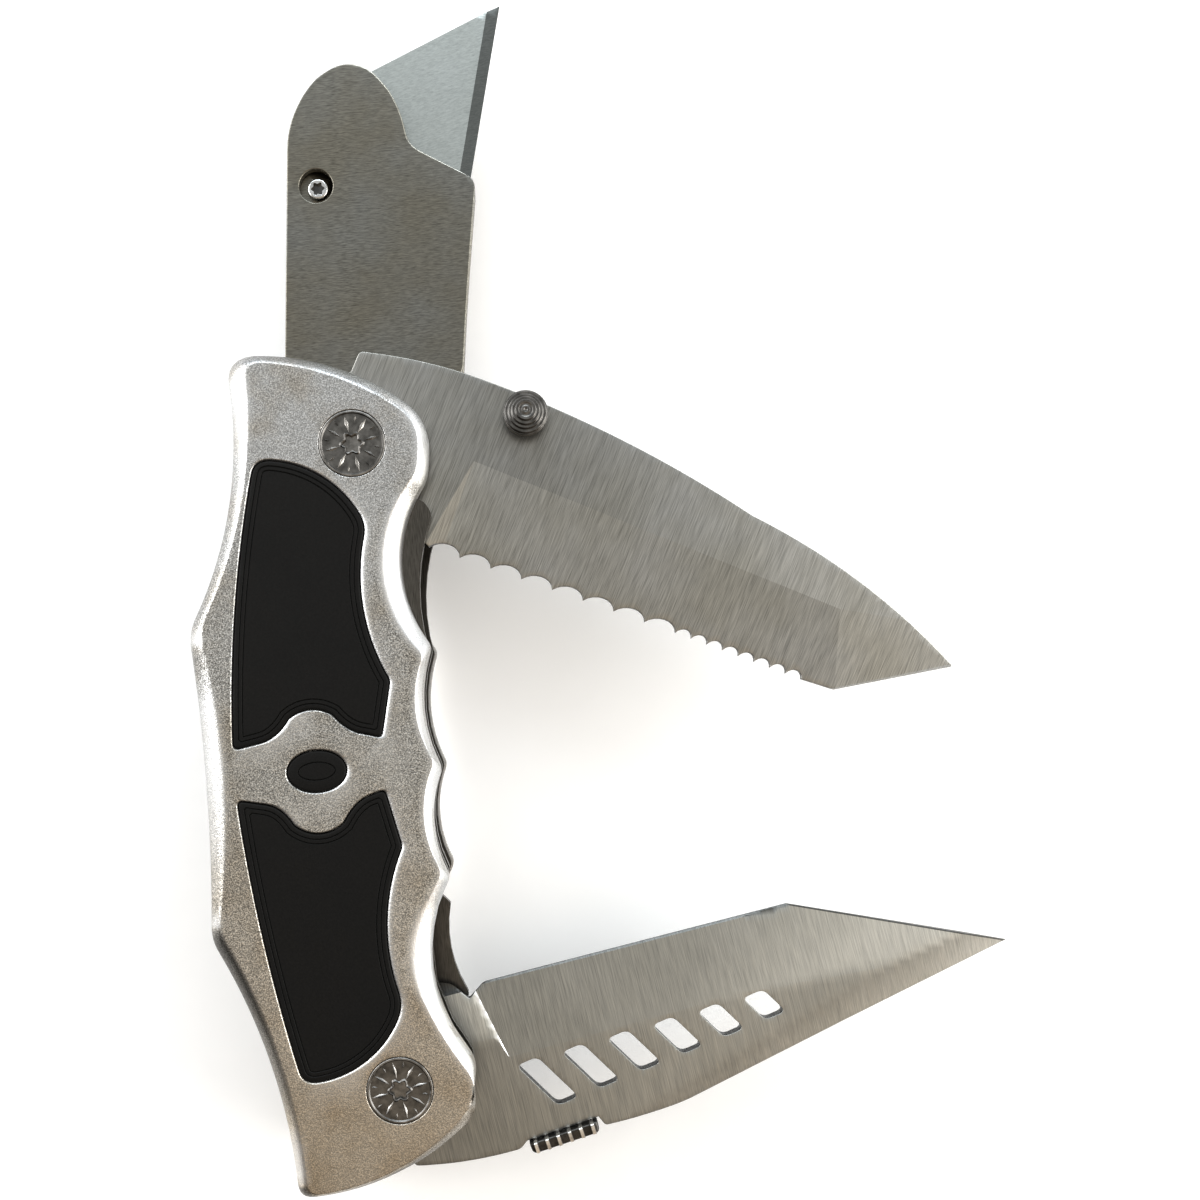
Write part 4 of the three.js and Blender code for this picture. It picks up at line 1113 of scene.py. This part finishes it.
# ---- slotted blade ----
SLOT_COUNT = 6
FIRST_SLOT = {"centre": np.array([20.1, -47]), "length": 8.2}
LAST_SLOT = {"centre": np.array([51.8, -38.4]), "length": 4.5}
SLOT_WIDTH = 3.2
SLOT_ROUND = 1.0
SLOT_EDGE_ROUND = 0.05
SWEDGE_DEPTH = 0.8
SLOTTED_BEVEL_SLOPE = 0.8
SLOTTED_GRID = 0.8  # the spacing of the points that carry the painted tones
TIP_SHADE_WIDTH = 0.22  # the width of the painted shade along the tip's edge
SLOTTED_FLAT_PAINTED_TONES = ((0, 16, 40, 60), (-0.38, -0.2, -0.08, -0.1))  # x and the blade's painted shade there, darkest by the pivot
# painted highlights on the plunge and tip facet, painted light on the swedge, painted shade along the edges
SLOTTED_PAINTED_TONES = {"plunge": 2.2, "tip": 0.38, "swedge": (-0.2, 0.15), "painted_edge_shade": -0.76}
SWEDGE_RISE = 0.7  # how fast the swedge's painted light brightens with its depth
TIP_BLEND = (0.12, 0.4)  # depth over which the tip's tone takes over, and its share at the meeting
SWEDGE_BLEND = (0.04, 0.5)
SLOT_SIDE_WAY = np.array([0.67, -0.742])
SLOT_END_WAY = np.array([0.945, 0.327])
TAB_HEEL = np.array([16.9, -55.4])
TAB_NOSE = np.array([26.7, -52.9])


def slot(index):
    """One slot: a leaning, rounded parallelogram. The slots shorten evenly towards the tip."""
    t = index / (SLOT_COUNT - 1)
    centre = FIRST_SLOT["centre"] * (1 - t) + LAST_SLOT["centre"] * t
    half_side = SLOT_SIDE_WAY * (FIRST_SLOT["length"] * (1 - t) + LAST_SLOT["length"] * t) / 2
    half_end = SLOT_END_WAY * SLOT_WIDTH / 2
    corners = [centre + s * half_side + e * half_end for s, e in ((-1, -1), (-1, 1), (1, 1), (1, -1))]
    return outline([(*corner, 0, SLOT_ROUND) for corner in corners])


def slotted_blade():
    """The lower blade: a straight edge, a long tip facet, a swedge and a row of slots."""
    corner, tip = (56.2, -24.3), (87.3, -31.8)
    edge_start = (12, -32.3)
    loop = outline([
        *tang_arc(LOWER_PIVOT, 268, 78),
        (3.6, -31.6, 0, 0.6),
        (7.4, -32.3, 0, 0.8),
        (9.8, -34.5, 0, 0.3),
        (*edge_start, 0, 0.5),
        corner,
        tip,
        (62.9, -41.7),
        (39.5, -51.4, 0.2, 1.5),
        (27.9, -53.9, 0, 0.4),
        tuple(TAB_NOSE + (0.3, 0.3)),
        tuple(TAB_HEEL + (-0.3, 0.1)),
        (15.6, -56.4, 0.5, 0.5),
        (0.3, -57.7, 0, 0.6),
    ])
    grind_start, grind_end = (14.9, -43.2), (60.3, -34.2)
    main = facet(grind_start, grind_end, corner, GROUND_DEPTH)
    plunge = facet((10, -34.2), grind_start, (10.9, -33.7), GROUND_DEPTH)
    tip_ground = facet((60.2, -35.3), (84.5, -32.7), corner, GROUND_DEPTH)
    swedge = facet((35.9, -50.9), (70, -34.2), (62.9, -45), SWEDGE_DEPTH)
    edge_bevel = edge_facet(edge_start, corner, (40, -40), BLUNT_DEPTH, SLOTTED_BEVEL_SLOPE)
    tip_edge = facet(corner, tip, (60, -33), 1)
    tip_edge = tip_edge / np.linalg.norm(tip_edge[:2])
    # points that carry the painted shade along the tip's edge
    shaded_edge_line = np.linspace(corner, tip, 60)[1:-2] + tip_edge[:2] * TIP_SHADE_WIDTH
    painted_tones = SLOTTED_PAINTED_TONES

    def depth(points):
        hollow = np.minimum(depth_on(main, points), depth_on(plunge, points))
        ground = soft_max(hollow, depth_on(tip_ground, points), SOFT_MEETING)
        ground = np.maximum(ground, 0)
        ground = soft_max(ground, depth_on(swedge, points), SOFT_MEETING)
        return np.maximum.reduce([ground, depth_on(edge_bevel, points), np.zeros(len(points))])

    def shade(points):
        main_depth = np.minimum(depth_on(main, points), depth_on(plunge, points))
        ground = np.maximum(main_depth, 0)
        tip_depth = depth_on(tip_ground, points)
        swedge_depth = depth_on(swedge, points)
        deepest = np.maximum(ground, tip_depth)
        tip_share = np.clip((tip_depth - ground) / TIP_BLEND[0] + TIP_BLEND[1], 0, 1)
        swedge_share = np.clip((swedge_depth - deepest) / SWEDGE_BLEND[0] + SWEDGE_BLEND[1], 0, 1)
        swedge_share *= swedge_depth > 0
        swedge_tone = np.clip(swedge_depth * SWEDGE_RISE + painted_tones["swedge"][0], *painted_tones["swedge"])
        in_plunge = (depth_on(plunge, points) < depth_on(main, points)) & (main_depth > 0)
        tone = np.where(in_plunge, painted_tones["plunge"], np.interp(points[:, 0], *SLOTTED_FLAT_PAINTED_TONES))
        tone = tone + (painted_tones["tip"] - tone) * tip_share
        tone = tone + (swedge_tone - tone) * swedge_share
        painted_edge_shade = (depth_on(edge_bevel, points) > deepest) | (depth_on(tip_edge, points) < TIP_SHADE_WIDTH)
        return np.where(painted_edge_shade, painted_tones["painted_edge_shade"], tone)

    holes = [rounded(slot(index), SLOT_EDGE_ROUND, -1) for index in range(SLOT_COUNT)]
    holes.append(rounded(circle(LOWER_PIVOT, PIVOT_HOLE_RADIUS), EDGE_ROUND, -1))
    piece = plan_solid(
        "slotted_blade_steel", rounded(loop, EDGE_ROUND), holes, heights("slotted_blade"),
        [(shaded_edge_line, None, False, False)], depth=depth,
        facets=[main, plunge, tip_ground, swedge, edge_bevel], grid=SLOTTED_GRID,
        shade=shade, wall_shade=PAINTED_WALL_SHADE,
    )
    return dress(piece, "slotted_steel", "slotted_tool", "slotted_blade")


# ---- thumb tab ----
TAB_RIBS = 6
TAB_REACH = 1.6
RIB_DEPTH = 0.3
RIB_SIDE_DEPTH = 0.12  # the grooves' depth on the tab's outer side, as a part of a groove's depth
RIB_HALF_CREST = 0.13  # half of a rib's flat crest, as a part of the pitch
RIB_HALF_FOOT = 0.18
TAB_CORNER = 0.3
TAB_END_ROUND = 0.7
TAB_END_INSETS = (0.06, 0.2, 0.4)  # sections inside each end that carry its round
TAB_FACE_TRIM = 0.5  # how much of the ends' rounding the broad faces take
RIB_SHADE = 3.4
GROOVE_SHADE = -0.65


def tab_section(low, high, dip, trim):
    """The tab's section as (outwards, height) pairs: a rounded bar whose outer faces dip."""
    far = TAB_REACH - trim - dip * RIB_DEPTH * RIB_SIDE_DEPTH
    bottom = low + trim * TAB_FACE_TRIM + dip * RIB_DEPTH
    top = high - trim * TAB_FACE_TRIM - dip * RIB_DEPTH
    points = []
    for x, z, sx, sz in ((0, bottom, 1, 1), (far, bottom, -1, 1), (far, top, -1, -1), (0, top, 1, -1)):
        across = np.array([sx * TAB_CORNER, 0])
        upright = np.array([0, sz * TAB_CORNER])
        first, last = (across, upright) if sx * sz < 0 else (upright, across)
        for t in np.linspace(0, 1, 4):
            points.append(np.array([x, z]) + (1 - t) ** 2 * first + t**2 * last)
    return points


def tab_stations(length):
    """Distances along the tab, each with its dip (0 on a rib and 1 in a groove) and its end rounding."""
    pitch = length / TAB_RIBS
    places = {0.0: 1.0, length: 1.0}
    for index in range(TAB_RIBS):
        middle = (index + 0.5) * pitch
        for side in (-1, 1):
            places[middle + side * RIB_HALF_CREST * pitch] = 0.0
            places[middle + side * RIB_HALF_FOOT * pitch] = 1.0
    for inset in TAB_END_INSETS:
        places[inset] = 1.0
        places[length - inset] = 1.0
    stations = []
    for distance, dip in sorted(places.items()):
        into_round = max(0.0, 1 - min(distance, length - distance) / TAB_END_ROUND)
        trim = TAB_END_ROUND * (1 - math.sqrt(max(0.0, 1 - into_round**2)))
        stations.append((distance, dip, trim))
    return stations


def thumb_tab():
    """The ribbed thumb tab: a bar across the blade's spine whose section dips between its ribs."""
    low, high = heights("thumb_tab")
    way = TAB_NOSE - TAB_HEEL
    length = np.linalg.norm(way)
    along = way / length
    outwards = np.array([along[1], -along[0]])
    stations = tab_stations(length)
    vertices, polygons, dips = [], [], []
    for distance, dip, trim in stations:
        foot = TAB_HEEL + along * distance
        for x, z in tab_section(low, high, dip, trim):
            vertices.append((*(foot + outwards * x), z))
            dips.append(dip)
    ring = len(vertices) // len(stations)
    for level in range(len(stations) - 1):
        for step in range(ring):
            beside = (step + 1) % ring
            base = level * ring
            polygons.append((base + step, base + beside, base + ring + beside, base + ring + step))
    polygons.append(tuple(range(ring))[::-1])
    polygons.append(tuple(range(len(vertices) - ring, len(vertices))))
    piece = mesh_object("thumb_tab_steel", vertices, polygons)
    layer = piece.data.attributes.new("shade", "FLOAT", "POINT")
    layer.data.foreach_set("value", [GROOVE_SHADE if dip else RIB_SHADE for dip in dips])
    return dress(piece, "fastener_steel", body="slotted_tool", node="thumb_tab")


# ---- utility-blade holder ----
HOLDER_LOOP = outline([
    *tang_arc(UPPER_PIVOT, 30, -190),
    (-10.8, 54, 0, 2),
    (-7.5, 93.2, 0, 2.5),
    (-5, 98.5, 0.9, 3),
    (3.4, 102.9, 0.6, 3),
    (9.3, 95.2, 0, 3),
    (10, 89.9, 0, 2),
    (19.5, 84.2, 0, 1.6),
    (17, 68, 0, 9),
    (15.6, 56.3, 0, 1.2),
])
HOLDER_SCREW = middle_of("holder_screw")
HOLDER_WINDOWS = {"front": np.array([-3.9, 84.9]), "back": HOLDER_SCREW}
WINDOW_RADIUS = 2.45
SHANK_HOLE_RADIUS = 1.1
PLATE_ROUND = 0.2
EXIT_SIDE = 3  # the plates' rounded edge has a painted highlight beyond these, where the utility blade leaves them
EXIT_START = 85
EXIT_SHADE = 1.6
CORE_INSET = 0.4
CORE_ROUND = 0.08
TRAY_EXTRA_DEPTH = 0.1
TRAY_STEP = 0.05  # the width of the tray's steep side
SHARP_TIP = np.array([24.9, 110])
EDGE_LENGTH = 61.0
BACK_LENGTH = 33.0
UTILITY_WIDTH = 18.7
UTILITY_ROUND = 0.04
UTILITY_BEVEL = 1.7
UTILITY_EDGE_DEPTH = 0.85  # of half the utility blade's thickness
UTILITY_BEVEL_SHADE = -0.68
UTILITY_WALL_SHADE = -0.4
EDGE_WAY = unit(np.array([-0.238, -0.971]))
BACK_WAY = np.array([EDGE_WAY[1], -EDGE_WAY[0]])
TRAY_CLEARANCE = 0.25
NOTCH = {"offset": 6.0, "half_width": 1.2, "depth": 2.5}


def on_utility(along_edge, from_edge):
    """A point of the utility blade by its distances from the sharp tip and from the edge."""
    return tuple(SHARP_TIP + EDGE_WAY * along_edge + BACK_WAY * from_edge)


def utility_outline(*notches):
    """The utility blade's trapezoid, with the corners of any notches in its back."""
    slant = (EDGE_LENGTH - BACK_LENGTH) / 2
    return outline([
        on_utility(0, 0),
        on_utility(EDGE_LENGTH, 0),
        on_utility(EDGE_LENGTH - slant, UTILITY_WIDTH),
        *notches,
        on_utility(slant, UTILITY_WIDTH),
    ])


def holder_plate(place):
    """A brushed cheek plate of the holder, with a round window for the clamp screw."""
    node = f"holder_{place}_plate"
    holes = [
        rounded(circle(UPPER_PIVOT, PIVOT_HOLE_RADIUS), PLATE_ROUND, -1),
        rounded(circle(HOLDER_WINDOWS[place], WINDOW_RADIUS), PLATE_ROUND, -1),
    ]

    # a painted highlight on the rounded edge along the cut
    def shade(points):
        at_exit = (points[:, 0] > EXIT_SIDE) & (points[:, 1] > EXIT_START)
        return np.where(at_exit & (gap_to(points, HOLDER_LOOP) < PLATE_ROUND), EXIT_SHADE, 0.0)

    piece = plan_solid(
        f"{node}_steel", rounded(HOLDER_LOOP, PLATE_ROUND), holes, heights(node), shade=shade,
    )
    return dress(piece, "holder_steel", body="holder_tool", node=node)


def holder_core():
    """The core between the plates, with the tray that the utility blade lies in."""
    span = heights("holder_core")
    tray = utility_outline()
    tray_depth = span[1] - heights("utility_blade")[0] + TRAY_EXTRA_DEPTH
    body = offset(HOLDER_LOOP, CORE_INSET)
    piece = plan_solid(
        "holder_core_steel", rounded(body, CORE_ROUND),
        [[(circle(centre, radius), 0.0)] for centre, radius in
         ((UPPER_PIVOT, PIVOT_HOLE_RADIUS), (HOLDER_SCREW, SHANK_HOLE_RADIUS))],
        span, flat_below=True,
        depth=lambda points: np.where(inside(points, offset(tray, -TRAY_CLEARANCE)), tray_depth, 0.0),
        lines=[(offset(tray, TRAY_STEP - TRAY_CLEARANCE), tray_depth, True, True)],
    )
    return dress(piece, "holder_steel", body="holder_tool", node="holder_core")


def utility_blade():
    """The replaceable trapezoid blade, with its ground edge and the two notches in its back."""
    notches = []
    for middle in (EDGE_LENGTH / 2 + NOTCH["offset"], EDGE_LENGTH / 2 - NOTCH["offset"]):
        for side, reach in ((1, 0), (1, 1), (-1, 1), (-1, 0)):
            along = middle + side * NOTCH["half_width"]
            notches.append(on_utility(along, UTILITY_WIDTH - reach * NOTCH["depth"]))
    loop = utility_outline(*notches)
    span = heights("utility_blade")
    half = (span[1] - span[0]) / 2
    bevel = facet(
        on_utility(0, UTILITY_BEVEL), on_utility(9, UTILITY_BEVEL), on_utility(0, 0),
        half * UTILITY_EDGE_DEPTH,
    )
    piece = plan_solid(
        "utility_blade_steel", rounded(loop, UTILITY_ROUND, steps=2), [], span,
        depth=lambda points: np.maximum(depth_on(bevel, points), 0), facets=[bevel],
        shade=lambda points: np.where(depth_on(bevel, points) > 0, UTILITY_BEVEL_SHADE, 0.0),
        wall_shade=UTILITY_WALL_SHADE,
    )
    return dress(piece, "razor_steel", body="holder_tool", node="utility_blade")


CLAMP_HEAD = {"radius": 1.5, "dome": 0.3, "recess": 0.88, "lip": 0.05, "draft": 0.06, "depth": 0.6}
CLAMP_SHANK = {"radius": 1.0, "chamfer": 0.15}
CLAMP_RECESS_SHADE = -0.85


def holder_screw():
    """The small clamp screw: a bright domed head with a six-lobed recess."""
    low, high = heights("holder_screw")
    head_low, _ = heights("holder_front_plate")
    outer = rounded(circle(HOLDER_SCREW, CLAMP_HEAD["radius"]), CLAMP_HEAD["dome"], steps=5)
    recess_rim = recess_loop(HOLDER_SCREW, CLAMP_HEAD["recess"])
    recess_foot = offset(recess_rim, CLAMP_HEAD["draft"])
    lines = [
        (recess_rim, CLAMP_HEAD["lip"], True, False),
        (recess_foot, CLAMP_HEAD["depth"], True, False),
    ]
    head = plan_solid(
        "holder_screw_head", outer, [], (head_low, high), lines, flat_below=True,
        shade=lambda points: np.where(inside(points, recess_rim), CLAMP_RECESS_SHADE, 0.0),
    )
    dress(head, "bright_steel", "holder_tool", "holder_screw")
    span = (low, head_low + SHANK_OVERLAP)
    core = shank("holder_screw", HOLDER_SCREW, CLAMP_SHANK["radius"], span, CLAMP_SHANK["chamfer"], 32)
    dress(core, "bright_steel", "holder_tool")


# ---- CAD nodes that stay, with their edges eased ----
TOOLS = ("serrated", "slotted", "holder")
KEPT = {
    "liner_steel": [
        "front_lock_liner", "front_divider_liner", "rear_lock_liner", "rear_liner",
        *(f"{tool}_bay_spacer" for tool in TOOLS),
    ],
    "fastener_steel": [
        *(f"{tool}_stop_pin" for tool in TOOLS),
        *(f"{place}_{piece}" for piece in ("back_rivet", "pivot_barrel") for place in PIVOTS),
        "holder_screw_nut",
    ],
    "bronze": [f"{tool}_{side}_washer" for tool in TOOLS for side in ("front", "rear")],
}
EASED_EDGE = 0.13
EASED_WASHER_EDGE = 0.04


def ease(node, width):
    """Merges a kept node's split corners and rounds its sharp edges, by modifiers only."""
    piece = frame["nodes"][node]
    weld = piece.modifiers.new("weld", "WELD")
    weld.merge_threshold = 0.001 * MM
    bevel = piece.modifiers.new("eased_edges", "BEVEL")
    bevel.width = width * MM
    bevel.segments = 2
    bevel.limit_method = "ANGLE"
    bevel.angle_limit = CREASE_ANGLE
    bevel.material = 1
    return evenly_shaded(piece)


# ---- stage ----
FLOOR_HALF = 1500
FLOOR_GAP = 0.02
FLOOR_GLOW = 0.13


def floor():
    """A wide, pale, matt floor under the knife, lit a little from below so that shadows stay light."""
    level = cad_box[0][2] / MM - FLOOR_GAP
    corners = [(x * FLOOR_HALF, y * FLOOR_HALF, level) for x, y in ((-1, -1), (1, -1), (1, 1), (-1, 1))]
    piece = mesh_object("floor", corners, [(0, 1, 2, 3)])
    shader = Shader("floor_paper", 0.0, 0.75, specular=0.2)
    fibres = shader.noise(2.5, detail=4)
    colour = shader.ramp(fibres, (0.3, 0.9), (0.7, 0.93))
    shader.surface.inputs["Emission Color"].default_value = (1, 1, 1, 1)
    shader.surface.inputs["Emission Strength"].default_value = FLOOR_GLOW
    piece.data.materials.append(shader.finish(colour, normal=shader.bump(fibres, 0.02, 0.2)))


def softbox(name, place, target, size, power, colour=(1.0, 1.0, 1.0)):
    """A rectangular area light at a place, turned to a target, in millimetres and watts."""
    light = bpy.data.lights.new(name, "AREA")
    light.shape = "RECTANGLE"
    light.size, light.size_y = (side * MM for side in size)
    light.energy = power
    light.color = colour
    lamp = bpy.data.objects.new(name, light)
    lamp.location = Vector(place) * MM
    lamp.rotation_euler = (Vector(target) - Vector(place)).to_track_quat("-Z", "Y").to_euler()
    bpy.context.scene.collection.objects.link(lamp)


def room():
    """The room round the knife: cooler beyond its upper end, warm beyond its lower and dark to one side."""
    world = bpy.data.worlds.new("room")
    bpy.context.scene.world = world
    world.use_nodes = True
    nodes = Nodes(world.node_tree)
    view = nodes.add("ShaderNodeTexCoord").outputs["Generated"]

    def along(direction, start, end):
        """How far a view's direction points along another one, as 0 to 1 from start to end."""
        dot = nodes.add("ShaderNodeVectorMath", operation="DOT_PRODUCT")
        dot.inputs[1].default_value = Vector(direction).normalized()
        nodes.feed(dot.inputs[0], view)
        return nodes.remap(dot.outputs["Value"], 0.0, 1.0, start, end)

    length_wise = nodes.ramp(
        along((0, 1, 0), -1, 1),
        (0.0, (0.25, 0.21, 0.17)),
        (0.3, (0.74, 0.6, 0.45)),
        (0.44, (0.7, 0.64, 0.545)),
        (0.56, (0.66, 0.655, 0.63)),
        (0.8, (0.62, 0.64, 0.65)),
        (1.0, (0.66, 0.72, 0.79)),
    )
    dark_side = nodes.ramp(along((-0.7, -0.7, 0.1), 0.35, 0.95), (0.0, 1.0), (1.0, (0.06, 0.06, 0.07)))
    colour = nodes.blend("MULTIPLY", 1.0, length_wise, dark_side)
    nodes.feed(nodes.tree.nodes["Background"].inputs["Color"], colour)


def studio_light():
    """Two long softboxes beside the knife and a fill beyond its upper end."""
    softbox("left_softbox", (-650, 330, 330), (0, 30, 0), (800, 420), 6.5)
    softbox("right_softbox", (720, 0, 330), (0, 0, 0), (900, 420), 7.5, (1.0, 0.995, 0.98))
    softbox("top_softbox", (0, 800, 420), (0, 0, 0), (700, 300), 4, (0.88, 0.95, 1.0))


CAMERA_PLAN = (17.24, 6.15)  # where the lens stands over the knife
CAMERA_ABOVE_FACE = 150.0
CAMERA_TURN = math.radians(-4.258)
CAMERA_LENS = 33.4  # for a 36 mm sensor
CAMERA_SHIFT = (100 / 1200, 112 / 1200)


def camera():
    """Looks straight down, a little off the middle of the picture."""
    data = bpy.data.cameras.new("camera")
    data.lens = CAMERA_LENS
    data.sensor_width = 36
    data.shift_x, data.shift_y = CAMERA_SHIFT
    data.clip_start = 0.01
    _, face = heights("front_scale")
    piece = bpy.data.objects.new("camera", data)
    piece.location = Vector((*CAMERA_PLAN, face + CAMERA_ABOVE_FACE)) * MM
    piece.rotation_euler = (0, 0, CAMERA_TURN)
    bpy.context.scene.collection.objects.link(piece)
    bpy.context.scene.camera = piece


# ---- the knife and its stage ----
for scale_side in ("front", "rear"):
    scale(scale_side)
    for insert_place in INSERTS:
        insert(scale_side, insert_place)
    for pivot_place in PIVOTS:
        pivot_screw(pivot_place, scale_side)
serrated_blade()
thumb_stud()
slotted_blade()
thumb_tab()
holder_plate("front")
holder_core()
holder_plate("back")
utility_blade()
holder_screw()
for kept_material, kept_nodes in KEPT.items():
    for kept_node in kept_nodes:
        is_washer = kept_material == "bronze"
        kept_piece = dress(ease(kept_node, EASED_WASHER_EDGE if is_washer else EASED_EDGE), kept_material)
        kept_piece.data.materials.append(MATERIALS["worn_edge"])
floor()
room()
studio_light()
camera()
bpy.context.scene.view_settings.view_transform = "Standard"
